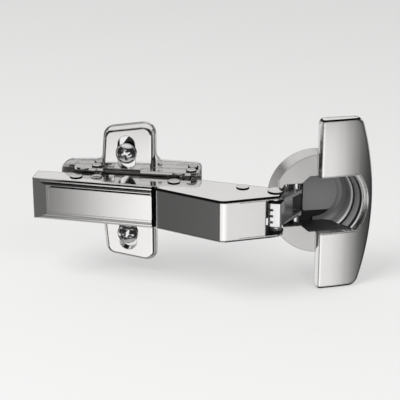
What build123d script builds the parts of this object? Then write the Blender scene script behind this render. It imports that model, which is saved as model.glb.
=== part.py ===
from build123d import *
import math
import os

os.makedirs("parts", exist_ok=True)

# Lengths in millimetres, angles in degrees. X runs along the panel to its front edge,
# Y into the panel, Z up. The panel's face is the plane Y = 0.
fit_gap = 0.05

# Mounting plate
plate_sheet = 1.2
wing_rear = -26.0
wing_front = 28.1
wing_half = 13.1
wing_front_half = 12.8
wing_waist_half = 12.4
wing_rear_half = 11.5
wing_corner = 2.0
wing_rear_corner = 5.0
window_length = 34.0
window_half = 6.0
rail_inner = 8.9
rail_sheet = 1.1
rail_top = 5.6
rail_rear = -20.5
rail_rear_end = -8.6
rail_front_start = 5.5
rail_front = 27.6
rail_corner = 3.0
lobe_rear = -8.9
lobe_front = 10.8
lobe_inner = 8.6
lobe_tip_rear = 25.3
lobe_tip_front = 28.3
lobe_flare = 1.4
lobe_rear_flow = 2.0
lobe_front_flow = 2.8
lobe_corner = 4.2
lobe_taper = 14.7
lobe_skin = 1.3
lobe_wall = 2.3
pad_top = 3.8
pad_edge_r = 1.1
slot_width = 6.6
slot_length = 13.4
notch_rear = -8.2
notch_front = -5.0
notch_tip = 11.6
slot_collar = 1.2
punch_gap = 1.4
punch_z = 11.4
punch_r = 0.7
punch_depth = 0.9

# Fixing screws in the mounting plate
screw_spacing = 32.0
fixing_shank_r = 3.15
fixing_tip_r = 1.6
fixing_cone = 2.2
fixing_neck_r = 2.6
neck_end = 0.3
fixing_length = 12.0
fixing_head_r = 3.95
fixing_rim = 0.8
fixing_crown = 2.6

# Pins across the plate
plate_pin_r = 1.0
plate_pin_v = 3.3
front_pin_x = 24.6
rear_pin_x = -11.5
plate_head_r = 2.0
plate_head_h = 0.9

# Clip channel
clip_half = 5.1
clip_sheet = 1.1
clip_rear = -24.0
clip_step = 13.0
clip_front = 28.0
clip_bottom = 1.5
clip_top = 8.0
clip_front_top = 6.3
clip_clear = 0.15
stop_x = -1.0
stop_thick = 1.2
stop_half = 2.5
stop_bottom = 2.6

# Release latch and its spring
latch_half = 3.7
latch_rear = -30.2
latch_button = 1.6
latch_top = 6.6
latch_stem = 1.65
latch_leg_x = -8.2
latch_leg = 1.5
latch_bottom = 0.7
latch_nose = 3.2
latch_nose_h = 1.3
latch_button_bottom = 2.6
spring_wire = 0.7
latch_coil_r = 2.0
latch_coil_v = 4.2
latch_coils = 7

# Carriage
carriage_half = 6.5
carriage_sheet = 1.1
carriage_front = 14.0
carriage_rear = -21.0
carriage_web_rear = -14.3
carriage_bottom = 5.3
carriage_top = 10.3
ear_r = 2.6
tilt_x = -17.9

# Adjusting screws
depth_x = -8.0
depth_collar_r = 3.8
depth_collar_h = 0.9
depth_neck_r = 2.0
depth_head_r = 3.3
depth_head_h = 1.6
eccentric = 2.4
eccentric_r = 1.2
eccentric_reach = 1.4
overlay_x = 4.0
overlay_collar_r = 2.8
overlay_collar_h = 0.8
overlay_neck_r = 1.6
overlay_body_r = 2.5
overlay_body_h = 5.0
overlay_hole_r = 2.9
access_hole_r = 3.6

# Arm
arm_half = 8.0
arm_sheet = 1.3
arm_rear = -33.8
arm_rear_top = 13.7
arm_cap_x = 13.4
arm_cap_top = 17.1
arm_step_x = 15.5
arm_step_top = 18.9
step_run = 0.8
step_drop = 0.5
knee_x = 40.0
knee_v = 28.7
knee_r = 4.5
arm_heel_x = 28.0
arm_waist_x = 37.0
arm_waist_v = 7.9
arm_bottom = 6.2
arm_edge_r = 0.9
fork_front = 2.2
fork_corner = 1.2
mouth_back = 2.5
mouth_rise = 7.1
tip_r = 3.1
arm_pin_r = 1.5
arm_head_r = 2.4
arm_head_h = 0.5
dimple_x = -10.3
dimple_v = 9.6
dimple_r = 2.1
dimple_h = 0.4
spring_x = 19.3
spring_v = 10.4
coil_r = 2.9
coil_half = 3.6
closing_wire = 1.1
front_leg = 21.7
front_leg_rise = 0.75
back_leg_x = 2.0
back_leg_v = 1.4
back_leg_run = 2.0
back_leg_rise = 4.4

# Arm cover cap
cap_front = 12.3
cap_thick = 1.1
cap_edge = 0.35
cap_rim_z = 7.35
cap_mid_z = 6.75
cap_mid_h = 0.75
cap_flat_z = 5.8
cap_slope = 5.3
panel_half = 5.0
panel_rear = 6.5
panel_front = 46.4
panel_rise = 0.2
boss_bottom = 14.0
boss_h = 1.9

# Linkage, seen along the pins: pivots in the arm, pole of the whole swing, link radii
front_pivot_x = 57.5
front_pivot_v = 14.5
rear_pivot_x = 45.2
rear_pivot_v = 12.2
pole_s = -12.02
pole_w = -8.12
outer_radius = 6.3
inner_radius = 5.3
swing = 110.0
door_turn = 20.0
cup_x = 73.0
cup_v = 1.8
front_pin_r = 1.75
front_head_r = 2.95
front_head_h = 0.55
bush_r = 2.45
bush_inner = 5.15
bush_outer = 6.6
barrel_r = 2.45
barrel_half = 5.0
barrel_corner = 0.9
cheek_inner = 3.7
cheek_low = 1.4
cheek_high = 2.2
outer_eye_r = 2.3
web_low = 0.7
middle_slot_z = 0.75
slot_pitch = 2.35
web_reach = 8.2
barrel_slot = 0.7
barrel_slot_depth = 1.9
inner_half = 3.3
inner_width = 3.0
inner_eye_r = 2.5
inner_hook_s = -16.6
inner_hook_w = 2.4
inner_crank_s = -22.5
inner_crank_w = 2.6
inner_bend_r = 2.2
tail_slot_r = 2.3
tail_travel = 2.5
tail_wall = 1.2
stub_r = 1.5
stub_inner = 3.75
cup_pin_end = 10.1
inner_cup_r = 1.35

# Cup
cup_r = 17.5
cup_depth = 12.6
cup_floor = 1.2
cup_bore_r = 16.4
pocket_rear_half = 8.3
pocket_rear_s = -7.5
pocket_front_half = 10.9
pocket_front_s = -4.5
link_notch_half = 4.2
link_notch_depth = 4.5
flange_r = 19.3
flange_cut = -16.3
flange_t = 1.0
wing_s0 = -1.5
wing_s1 = 12.5
cup_wing_half = 31.6
cup_screw_s = 5.5
cup_screw_z = 26.0
cup_screw_r = 1.75
cup_screw_head_r = 3.4
cup_screw_head_h = 1.6
cup_screw_length = 11.0
cup_neck_r = 1.45
insert_s0 = -4.0
insert_s1 = 10.0
insert_z0 = -6.8
insert_z1 = 10.2
insert_t = 0.95

# Cup cover cap
cover_s0 = -1.9
cover_half = 33.2
cover_right_s = 19.4
cover_right_r = 104.0
cover_corner = 4.0
cover_left_corner = 2.0
cover_edge_r = 0.8
cover_left_h = 1.2
cover_top_s = -1.0
cover_top = 4.2
cover_mid_s = 9.6
cover_mid = 3.5
cover_right_h = 2.0
cover_notch_half = 10.9
cover_notch_r = 17.2
cover_pocket_s0 = 1.5
cover_pocket_s1 = 9.5
cover_pocket_z0 = 21.5
cover_pocket_z1 = 30.5
cover_pocket_top = 2.75

# Planes: the panel's face (X, Z), the side view (X, distance from the panel)
panel = Plane(origin=(0, 0, 0), x_dir=(1, 0, 0), z_dir=(0, -1, 0))
side = Plane(origin=(0, 0, 0), x_dir=(1, 0, 0), z_dir=(0, 0, -1))

# Door face: s along the door, w out of it
turn = math.radians(door_turn)
along = (math.cos(turn), math.sin(turn), 0)
out = (math.sin(turn), -math.cos(turn), 0)
door = Plane(origin=(cup_x, -cup_v, 0), x_dir=along, z_dir=out)
door_side = Plane(origin=(cup_x, -cup_v, 0), x_dir=along, z_dir=(0, 0, -1))


def door_point(s, w):
    """Side view point (X, distance from the panel) of a point of the door."""
    x = cup_x + s * along[0] + w * out[0]
    v = cup_v - s * along[1] - w * out[1]
    return (x, v)


def door_local(x, v):
    """Door point (s, w) of a side view point."""
    dx = x - cup_x
    dy = cup_v - v
    return (dx * along[0] + dy * along[1], dx * out[0] + dy * out[1])


def cup_pivot(arm_x, arm_v, radius):
    """Cup pivot of the link that hangs on the given arm pivot, in the side view."""
    pole = door_point(pole_s, pole_w)
    angle = math.atan2(arm_v - pole[1], arm_x - pole[0]) - math.radians(swing / 2)
    return (pole[0] + radius * math.cos(angle), pole[1] + radius * math.sin(angle))


def inset(points, distance):
    """A bent line moved sideways by a distance, to the right of its run."""
    runs = []
    for (x0, v0), (x1, v1) in zip(points, points[1:]):
        length = math.hypot(x1 - x0, v1 - v0)
        start = (x0 + (v1 - v0) / length * distance, v0 - (x1 - x0) / length * distance)
        runs.append((start, (x1 - x0, v1 - v0)))
    moved = [runs[0][0]]
    for (p, d), (q, e) in zip(runs, runs[1:]):
        cross = d[0] * e[1] - d[1] * e[0]
        share = ((q[0] - p[0]) * e[1] - (q[1] - p[1]) * e[0]) / cross
        moved.append((p[0] + share * d[0], p[1] + share * d[1]))
    last, run = runs[-1]
    moved.append((last[0] + run[0], last[1] + run[1]))
    return moved


outer_cup_x, outer_cup_v = cup_pivot(front_pivot_x, front_pivot_v, outer_radius)
inner_cup_x, inner_cup_v = cup_pivot(rear_pivot_x, rear_pivot_v, inner_radius)
outer_cup_s, outer_cup_w = door_local(outer_cup_x, outer_cup_v)
inner_cup_s, inner_cup_w = door_local(inner_cup_x, inner_cup_v)
rear_pivot_s, rear_pivot_w = door_local(rear_pivot_x, rear_pivot_v)

# Mounting plate: wing, tapered lobes and rail walls
lobe_lean = lobe_flare / (lobe_tip_rear - lobe_inner)
lobe_join = lobe_rear - lobe_lean * (lobe_tip_rear - wing_waist_half)
plate_corners = (
    (wing_rear, wing_rear_half, wing_rear_corner),
    (lobe_join, wing_waist_half, lobe_rear_flow),
    (lobe_rear, lobe_tip_rear, lobe_corner),
    (lobe_front, lobe_tip_front, lobe_corner),
    (lobe_front, wing_half, lobe_front_flow),
    (wing_front, wing_front_half, wing_corner),
)
with BuildPart() as mounting_plate:
    with BuildSketch(panel) as plate_outline:
        with BuildLine():
            Polyline(
                (wing_rear, 0),
                (wing_rear, wing_rear_half),
                (lobe_join, wing_waist_half),
                (lobe_rear, lobe_tip_rear),
                (lobe_front, lobe_tip_front),
                (lobe_front, wing_half),
                (wing_front, wing_front_half),
                (wing_front, 0),
                close=True,
            )
        make_face()
        for corner_x, corner_z, corner_r in plate_corners:
            corner = plate_outline.vertices().sort_by_distance((corner_x, corner_z))[0]
            fillet(corner, corner_r)
    extrude(amount=plate_sheet)
    with BuildSketch(panel) as lobe:
        with BuildLine():
            Polyline(
                (lobe_rear - lobe_flare, lobe_inner),
                (lobe_front, lobe_inner),
                (lobe_front, lobe_tip_front),
                (lobe_rear, lobe_tip_rear),
                close=True,
            )
        make_face()
        fillet(lobe.vertices().sort_by(Axis.Y)[-2:], lobe_corner)
    extrude(amount=pad_top, taper=lobe_taper)
    pad_edges = mounting_plate.faces().sort_by(Axis.Y)[0].edges()
    fillet(pad_edges.filter_by(lambda edge: edge.center().Z > lobe_inner + 2), pad_edge_r)
    with BuildSketch(panel) as hollow:
        with BuildLine():
            Polyline(
                (lobe_rear + lobe_wall, lobe_inner + lobe_wall),
                (lobe_front - lobe_wall, lobe_inner + lobe_wall),
                (lobe_front - lobe_wall, lobe_tip_front - lobe_wall),
                (lobe_rear + lobe_wall, lobe_tip_rear - lobe_wall),
                close=True,
            )
        make_face()
        fillet(hollow.vertices().sort_by(Axis.Y)[-2:], lobe_corner - lobe_wall)
        with Locations((0, screw_spacing / 2)):
            SlotOverall(
                slot_length + 2 * slot_collar,
                slot_width + 2 * slot_collar,
                rotation=90,
                mode=Mode.SUBTRACT,
            )
    extrude(amount=pad_top - lobe_skin, mode=Mode.SUBTRACT)
    with BuildSketch(panel):
        with Locations((0, screw_spacing / 2)):
            SlotOverall(slot_length, slot_width, rotation=90)
    extrude(amount=2 * pad_top, mode=Mode.SUBTRACT)
    with BuildSketch(panel.offset(plate_sheet)):
        with Locations(((notch_rear + notch_front) / 2, (lobe_inner + notch_tip) / 2)):
            Rectangle(notch_front - notch_rear, notch_tip - lobe_inner)
    extrude(amount=2 * pad_top, mode=Mode.SUBTRACT)
    with BuildSketch(panel.offset(plate_sheet - punch_depth)):
        with Locations((lobe_front + punch_gap, punch_z)):
            Circle(punch_r)
    extrude(amount=punch_depth, mode=Mode.SUBTRACT)
    with BuildSketch(side.offset(-rail_inner - rail_sheet)) as rails:
        with BuildLine():
            Polyline(
                (rail_rear, 0),
                (rail_rear_end, 0),
                (rail_rear_end, rail_top),
                (rail_rear, rail_top),
                close=True,
            )
        make_face()
        fillet(rails.vertices().sort_by(Axis.X)[:2].sort_by(Axis.Y)[-1:], rail_corner)
        with BuildLine():
            Polyline(
                (lobe_front - 1.0, 0),
                (rail_front, 0),
                (rail_front, rail_top),
                (rail_front_start, rail_top),
                (rail_front_start, pad_top - 0.2),
                (lobe_front - 1.0, pad_top - 0.2),
                close=True,
            )
        make_face()
        fillet(rails.vertices().sort_by(Axis.X)[-2:].sort_by(Axis.Y)[-1:], rail_corner)
        with Locations((front_pin_x, plate_pin_v), (rear_pin_x, plate_pin_v)):
            Circle(plate_pin_r + fit_gap, mode=Mode.SUBTRACT)
    extrude(amount=rail_sheet)
    split(bisect_by=Plane.XY, keep=Keep.TOP)
    mirror(about=Plane.XY)
    with BuildSketch(panel):
        Rectangle(window_length, 2 * window_half)
    extrude(amount=plate_sheet, mode=Mode.SUBTRACT)
mounting_plate.part.label = "mounting_plate"
export_step(mounting_plate.part, "parts/mounting_plate.step")

# Fixing screws: shank with a cone end, domed head, cross recess
with BuildPart() as fixing_screws:
    with BuildSketch(side.offset(-screw_spacing / 2)):
        with BuildLine():
            Polyline(
                (0, -fixing_length),
                (fixing_tip_r, -fixing_length),
                (fixing_shank_r, -fixing_length + fixing_cone),
                (fixing_shank_r, -neck_end),
                (fixing_neck_r, -neck_end),
                (fixing_neck_r, pad_top),
                (fixing_head_r, pad_top),
                (fixing_head_r, pad_top + fixing_rim),
            )
            ThreePointArc(
                (fixing_head_r, pad_top + fixing_rim),
                (fixing_head_r * 0.62, pad_top + fixing_crown - 0.45),
                (0, pad_top + fixing_crown),
            )
            Line((0, pad_top + fixing_crown), (0, -fixing_length))
        make_face()
    revolve(axis=Axis((0, 0, screw_spacing / 2), (0, -1, 0)))
    with BuildSketch(panel.offset(pad_top + 1.0)):
        with Locations((0, screw_spacing / 2)):
            Rectangle(4.2, 1.0, rotation=20)
            Rectangle(4.2, 1.0, rotation=110)
            Circle(1.0)
    extrude(amount=fixing_crown, mode=Mode.SUBTRACT)
    mirror(about=Plane.XY)
fixing_screws.part.label = "fixing_screws"
export_step(fixing_screws.part, "parts/fixing_screws.step")

# Pins across the rails with flat round heads
with BuildPart() as plate_pins:
    with BuildSketch(side):
        with Locations((front_pin_x, plate_pin_v), (rear_pin_x, plate_pin_v)):
            Circle(plate_pin_r)
    extrude(amount=rail_inner + rail_sheet, both=True)
    with BuildSketch(side.offset(-rail_inner - rail_sheet - plate_head_h)):
        with Locations((front_pin_x, plate_pin_v), (rear_pin_x, plate_pin_v)):
            Circle(plate_head_r)
    extrude(amount=plate_head_h)
    fillet(plate_pins.edges().group_by(Axis.Z)[-1], 0.4)
    split(bisect_by=Plane.XY, keep=Keep.TOP)
    mirror(about=Plane.XY)
plate_pins.part.label = "plate_pins"
export_step(plate_pins.part, "parts/plate_pins.step")

# Clip channel: hooks over the plate's pins, carries the slot of the depth screw
with BuildPart() as base_clip:
    with BuildSketch(side):
        with BuildLine():
            Polyline(
                (clip_rear, clip_bottom),
                (clip_front, clip_bottom),
                (clip_front, clip_front_top),
                (clip_step, clip_front_top),
                (clip_step, clip_top),
                (clip_rear, clip_top),
                close=True,
            )
        make_face()
        with Locations((front_pin_x, plate_pin_v), (rear_pin_x, plate_pin_v)):
            Circle(plate_pin_r + clip_clear, mode=Mode.SUBTRACT)
        with Locations((front_pin_x + 2.5, plate_pin_v)):
            Rectangle(5.0, 2 * (plate_pin_r + clip_clear), mode=Mode.SUBTRACT)
        with Locations((rear_pin_x, plate_pin_v - 1.5)):
            Rectangle(2 * (plate_pin_r + clip_clear), 3.0, mode=Mode.SUBTRACT)
    extrude(amount=clip_half, both=True)
    with BuildSketch(side):
        with Locations(((clip_rear + clip_front) / 2, (clip_top - clip_sheet) / 2)):
            Rectangle(2 * (clip_front - clip_rear), clip_top - clip_sheet)
    extrude(amount=clip_half - clip_sheet, both=True, mode=Mode.SUBTRACT)
    with BuildSketch(panel.offset(stop_bottom)):
        with Locations((stop_x + stop_thick / 2, 0)):
            Rectangle(stop_thick, 2 * stop_half)
    extrude(amount=clip_top - clip_sheet - stop_bottom + 0.2)
    with BuildSketch(panel):
        with Locations((depth_x, (eccentric + eccentric * math.cos(math.pi / 4)) / 2)):
            SlotOverall(3.6, 2.9, rotation=90)
    extrude(amount=2 * clip_top, mode=Mode.SUBTRACT)
base_clip.part.label = "base_clip"
export_step(base_clip.part, "parts/base_clip.step")

# Release latch: button, stem, leg and the nose that holds the rear pin
with BuildPart() as release_latch:
    with BuildSketch(side) as latch:
        with BuildLine():
            Polyline(
                (latch_rear, latch_button_bottom),
                (latch_rear + latch_button, latch_button_bottom),
                (latch_rear + latch_button, latch_top - latch_stem),
                (latch_leg_x - latch_leg, latch_top - latch_stem),
                (latch_leg_x - latch_leg, latch_bottom + latch_nose_h),
                (latch_leg_x - latch_leg - latch_nose, latch_bottom + latch_nose_h),
                (latch_leg_x - latch_leg - latch_nose, latch_bottom),
                (latch_leg_x, latch_bottom),
                (latch_leg_x, latch_top),
                (latch_rear, latch_top),
                close=True,
            )
        make_face()
        fillet(latch.vertices().sort_by(Axis.X)[:2], 0.6)
    extrude(amount=latch_half, both=True)
release_latch.part.label = "release_latch"
export_step(release_latch.part, "parts/release_latch.step")

# Latch spring: close coils turned as one ribbed sleeve
latch_spring_start = latch_leg_x + 0.1
latch_spring_end = stop_x - 0.1
latch_pitch = (latch_spring_end - latch_spring_start) / latch_coils
with BuildPart() as latch_spring:
    with BuildSketch(side):
        with BuildLine():
            rib = []
            for coil in range(latch_coils):
                start = latch_spring_start + coil * latch_pitch
                rib.append((start, latch_coil_v + latch_coil_r - 0.2))
                rib.append((start + latch_pitch * 0.3, latch_coil_v + latch_coil_r))
                rib.append((start + latch_pitch * 0.7, latch_coil_v + latch_coil_r))
            rib.append((latch_spring_end, latch_coil_v + latch_coil_r - 0.2))
            rib.append((latch_spring_end, latch_coil_v + latch_coil_r - spring_wire))
            rib.append((latch_spring_start, latch_coil_v + latch_coil_r - spring_wire))
            Polyline(rib, close=True)
        make_face()
    revolve(axis=Axis((0, -latch_coil_v, 0), (1, 0, 0)))
latch_spring.part.label = "latch_spring"
export_step(latch_spring.part, "parts/latch_spring.step")

# Carriage: channel over the clip with ears for the tilt pin
with BuildPart() as carriage:
    with BuildSketch(side):
        with BuildLine():
            Polyline(
                (carriage_rear, carriage_bottom),
                (carriage_front, carriage_bottom),
                (carriage_front, carriage_top),
                (carriage_rear + 0.6, carriage_top),
                (carriage_rear, carriage_top - 3.0),
                close=True,
            )
        make_face()
        with Locations((tilt_x, carriage_top)):
            Circle(ear_r)
    extrude(amount=carriage_half, both=True)
    with BuildSketch(side):
        with BuildLine():
            Polyline(
                (2 * carriage_rear, 0),
                (2 * carriage_front, 0),
                (2 * carriage_front, carriage_top - carriage_sheet),
                (carriage_web_rear, carriage_top - carriage_sheet),
                (carriage_web_rear, 2 * carriage_top),
                (2 * carriage_rear, 2 * carriage_top),
                close=True,
            )
        make_face()
    extrude(amount=carriage_half - carriage_sheet, both=True, mode=Mode.SUBTRACT)
    with BuildSketch(side):
        with Locations((tilt_x, carriage_top)):
            Circle(arm_pin_r + fit_gap)
    extrude(amount=carriage_half, both=True, mode=Mode.SUBTRACT)
    with BuildSketch(panel):
        with Locations((depth_x, 0)):
            Circle(depth_neck_r + fit_gap)
        with Locations((overlay_x, 0)):
            Circle(overlay_neck_r + fit_gap)
    extrude(amount=2 * carriage_top, mode=Mode.SUBTRACT)
carriage.part.label = "carriage"
export_step(carriage.part, "parts/carriage.step")

# Depth screw: collar and neck in the carriage, eccentric pin in the clip's slot
web_bottom = carriage_top - carriage_sheet
with BuildPart() as depth_screw:
    with BuildSketch(side.offset(0)):
        with BuildLine():
            Polyline(
                (depth_x, web_bottom - 0.1 - depth_collar_h),
                (depth_x + depth_collar_r, web_bottom - 0.1 - depth_collar_h),
                (depth_x + depth_collar_r, web_bottom - 0.1),
                (depth_x + depth_neck_r, web_bottom - 0.1),
                (depth_x + depth_neck_r, carriage_top + 0.1),
                (depth_x + depth_head_r, carriage_top + 0.1),
                (depth_x + depth_head_r, carriage_top + 0.1 + depth_head_h),
                (depth_x, carriage_top + 0.1 + depth_head_h),
                close=True,
            )
        make_face()
    revolve(axis=Axis((depth_x, 0, 0), (0, -1, 0)))
    chamfer(depth_screw.edges().sort_by(Axis.Y)[0], 0.4)
    with BuildSketch(panel.offset(web_bottom - 0.1 - depth_collar_h)):
        with Locations((depth_x, eccentric)):
            Circle(eccentric_r)
    extrude(amount=-eccentric_reach)
    with BuildSketch(panel.offset(carriage_top + 0.1 + depth_head_h)):
        with Locations((depth_x, 0)):
            Rectangle(3.6, 0.9)
            Rectangle(0.9, 3.6)
    extrude(amount=-1.1, mode=Mode.SUBTRACT)
depth_screw.part.label = "depth_screw"
export_step(depth_screw.part, "parts/depth_screw.step")

# Overlay screw: collar and neck in the carriage, body up through the arm
with BuildPart() as overlay_screw:
    with BuildSketch(side):
        with BuildLine():
            Polyline(
                (overlay_x, web_bottom - 0.1 - overlay_collar_h),
                (overlay_x + overlay_collar_r, web_bottom - 0.1 - overlay_collar_h),
                (overlay_x + overlay_collar_r, web_bottom - 0.1),
                (overlay_x + overlay_neck_r, web_bottom - 0.1),
                (overlay_x + overlay_neck_r, carriage_top + 0.1),
                (overlay_x + overlay_body_r, carriage_top + 0.1),
                (overlay_x + overlay_body_r, carriage_top + 0.1 + overlay_body_h),
                (overlay_x, carriage_top + 0.1 + overlay_body_h),
                close=True,
            )
        make_face()
    revolve(axis=Axis((overlay_x, 0, 0), (0, -1, 0)))
    chamfer(overlay_screw.edges().sort_by(Axis.Y)[0], 0.4)
    with BuildSketch(panel.offset(carriage_top + 0.1 + overlay_body_h)):
        with Locations((overlay_x, 0)):
            Rectangle(3.0, 0.8)
            Rectangle(0.8, 3.0)
    extrude(amount=-1.4, mode=Mode.SUBTRACT)
overlay_screw.part.label = "overlay_screw"
export_step(overlay_screw.part, "parts/overlay_screw.step")

# Arm: one pressed channel, hollowed along its bent web
mouth_x = front_pivot_x - mouth_back
mouth_v = front_pivot_v + mouth_rise
mouth_slope = (knee_v - mouth_v) / (mouth_x - knee_x)
fork_x = front_pivot_x + fork_front
fork_v = mouth_v - mouth_slope * (fork_x - mouth_x)
web_slope = (arm_cap_top - arm_rear_top) / (arm_cap_x - arm_rear)
web_line = (
    (2 * arm_rear, arm_rear_top + web_slope * arm_rear),
    (arm_cap_x, arm_cap_top),
    (arm_cap_x + step_run, arm_step_top - step_drop),
    (arm_step_x, arm_step_top),
    (knee_x, knee_v),
    (mouth_x, mouth_v),
)
web_inside = inset(web_line, arm_sheet)
mouth_end = (
    2 * mouth_x - web_inside[-1][0],
    2 * mouth_v - web_inside[-1][1],
)
arm_holes = (
    (tilt_x, carriage_top),
    (spring_x, spring_v),
    (rear_pivot_x, rear_pivot_v),
)
with BuildPart() as arm_channel:
    with BuildSketch(side) as arm_outline:
        with BuildLine():
            Polyline(
                (arm_rear, arm_bottom),
                (arm_heel_x, arm_bottom),
                (arm_waist_x, arm_waist_v),
                (front_pivot_x, front_pivot_v - tip_r),
            )
            ThreePointArc(
                (front_pivot_x, front_pivot_v - tip_r),
                (front_pivot_x + tip_r * 0.8, front_pivot_v - tip_r * 0.6),
                (front_pivot_x + tip_r, front_pivot_v),
            )
            Polyline(
                (front_pivot_x + tip_r, front_pivot_v),
                (fork_x, fork_v),
                (knee_x, knee_v),
                (arm_step_x, arm_step_top),
                (arm_cap_x + step_run, arm_step_top - step_drop),
                (arm_cap_x, arm_cap_top),
                (arm_rear, arm_rear_top),
                (arm_rear, arm_bottom),
            )
        make_face()
        fillet(arm_outline.vertices().sort_by(Axis.Y)[-1:], knee_r)
        fillet(arm_outline.vertices().sort_by_distance((fork_x, fork_v))[0], fork_corner)
    extrude(amount=arm_half, both=True)
    web_edges = arm_channel.edges().filter_by(lambda edge: abs(edge.center().Z) > arm_half - 0.01)
    web_edges = web_edges.filter_by(lambda edge: edge.center().Y < -14.2)
    web_edges = web_edges.filter_by(lambda edge: edge.center().X < mouth_x)
    fillet(web_edges, arm_edge_r)
    with BuildSketch(side) as arm_inside:
        with BuildLine():
            Polyline(
                (2 * arm_rear, -arm_bottom),
                *web_inside,
                mouth_end,
                (2 * front_pivot_x, mouth_end[1]),
                (2 * front_pivot_x, -arm_bottom),
                close=True,
            )
        make_face()
        fillet(arm_inside.vertices().sort_by(Axis.Y)[-1:], knee_r - arm_sheet)
    extrude(amount=arm_half - arm_sheet, both=True, mode=Mode.SUBTRACT)
    with BuildSketch(side):
        with Locations(*arm_holes):
            Circle(arm_pin_r + fit_gap)
        with Locations((front_pivot_x, front_pivot_v)):
            Circle(front_pin_r + fit_gap)
    extrude(amount=arm_half, both=True, mode=Mode.SUBTRACT)
    with BuildSketch(panel.offset(carriage_top)):
        with Locations((depth_x, 0)):
            Circle(access_hole_r)
        with Locations((overlay_x, 0)):
            Circle(overlay_hole_r)
    extrude(amount=2 * carriage_top, mode=Mode.SUBTRACT)
    with BuildSketch(side.offset(-arm_half - dimple_h)):
        with Locations((dimple_x, dimple_v)):
            Circle(dimple_r)
    extrude(amount=dimple_h)
    with BuildSketch(side.offset(arm_half)):
        with Locations((dimple_x, dimple_v)):
            Circle(dimple_r)
    extrude(amount=dimple_h)
arm_channel.part.label = "arm_channel"
export_step(arm_channel.part, "parts/arm_channel.step")

# Arm cover cap: bevelled section drawn along the arm's web
cap_rise = math.atan2(arm_cap_top - arm_rear_top, arm_cap_x - arm_rear)
cap_x_dir = (math.cos(cap_rise), -math.sin(cap_rise), 0)
cap_up = (-math.sin(cap_rise), -math.cos(cap_rise), 0)
cap_length = (cap_front - arm_rear) / math.cos(cap_rise)
cap_end = Plane(origin=(arm_rear, -arm_rear_top, 0), x_dir=(0, 0, 1), z_dir=cap_x_dir)
cap_top_plane = Plane(
    origin=(arm_rear + cap_thick * cap_up[0], -arm_rear_top + cap_thick * cap_up[1], 0),
    x_dir=cap_x_dir,
    z_dir=cap_up,
)
cap_side = Plane(origin=(arm_rear, -arm_rear_top, 0), x_dir=cap_x_dir, z_dir=(0, 0, -1))
with BuildPart() as arm_cover_cap:
    with BuildSketch(cap_end):
        with BuildLine():
            Polyline(
                (-arm_half, 0),
                (arm_half, 0),
                (arm_half, cap_edge),
                (cap_rim_z, cap_mid_h),
                (cap_mid_z, cap_mid_h),
                (cap_flat_z, cap_thick),
                (-cap_flat_z, cap_thick),
                (-cap_mid_z, cap_mid_h),
                (-cap_rim_z, cap_mid_h),
                (-arm_half, cap_edge),
                close=True,
            )
        make_face()
    extrude(amount=cap_length)
    with BuildSketch(cap_top_plane):
        with Locations(((panel_rear + panel_front) / 2, 0)):
            RectangleRounded(panel_front - panel_rear, 2 * panel_half, 0.6)
    extrude(amount=panel_rise)
    with BuildSketch(cap_side):
        with BuildLine():
            Polyline(
                (-1, cap_edge),
                (0, cap_edge),
                (cap_slope, cap_thick),
                (cap_slope, 2 * cap_thick),
                (-1, 2 * cap_thick),
                close=True,
            )
        make_face()
    extrude(amount=arm_half, both=True, mode=Mode.SUBTRACT)
    with BuildSketch(panel.offset(boss_bottom)):
        with Locations((depth_x, 0)):
            Circle(access_hole_r - 2 * fit_gap)
    extrude(amount=boss_h)
arm_cover_cap.part.label = "arm_cover_cap"
export_step(arm_cover_cap.part, "parts/arm_cover_cap.step")

# Tilt pin, spring pin and rear pivot pin: plain pins with riveted heads
with BuildPart() as tilt_pin:
    with BuildSketch(side):
        with Locations((tilt_x, carriage_top)):
            Circle(arm_pin_r)
    extrude(amount=arm_half, both=True)
    with BuildSketch(side.offset(arm_half), side.offset(-arm_half - arm_head_h)):
        with Locations((tilt_x, carriage_top)):
            Circle(arm_head_r)
    extrude(amount=arm_head_h)
tilt_pin.part.label = "tilt_pin"
export_step(tilt_pin.part, "parts/tilt_pin.step")

with BuildPart() as spring_pin:
    with BuildSketch(side):
        with Locations((spring_x, spring_v)):
            Circle(arm_pin_r)
    extrude(amount=arm_half, both=True)
    with BuildSketch(side.offset(arm_half), side.offset(-arm_half - arm_head_h)):
        with Locations((spring_x, spring_v)):
            Circle(arm_head_r)
    extrude(amount=arm_head_h)
spring_pin.part.label = "spring_pin"
export_step(spring_pin.part, "parts/spring_pin.step")

with BuildPart() as rear_pivot_pin:
    with BuildSketch(side):
        with Locations((rear_pivot_x, rear_pivot_v)):
            Circle(arm_pin_r)
    extrude(amount=arm_half, both=True)
    with BuildSketch(side.offset(arm_half), side.offset(-arm_half - arm_head_h)):
        with Locations((rear_pivot_x, rear_pivot_v)):
            Circle(arm_head_r)
    extrude(amount=arm_head_h)
rear_pivot_pin.part.label = "rear_pivot_pin"
export_step(rear_pivot_pin.part, "parts/rear_pivot_pin.step")

with BuildPart() as front_pivot_pin:
    with BuildSketch(side):
        with Locations((front_pivot_x, front_pivot_v)):
            Circle(front_pin_r)
    extrude(amount=arm_half, both=True)
    with BuildSketch(side.offset(arm_half), side.offset(-arm_half - front_head_h)):
        with Locations((front_pivot_x, front_pivot_v)):
            Circle(front_head_r)
    extrude(amount=front_head_h)
front_pivot_pin.part.label = "front_pivot_pin"
export_step(front_pivot_pin.part, "parts/front_pivot_pin.step")

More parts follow.
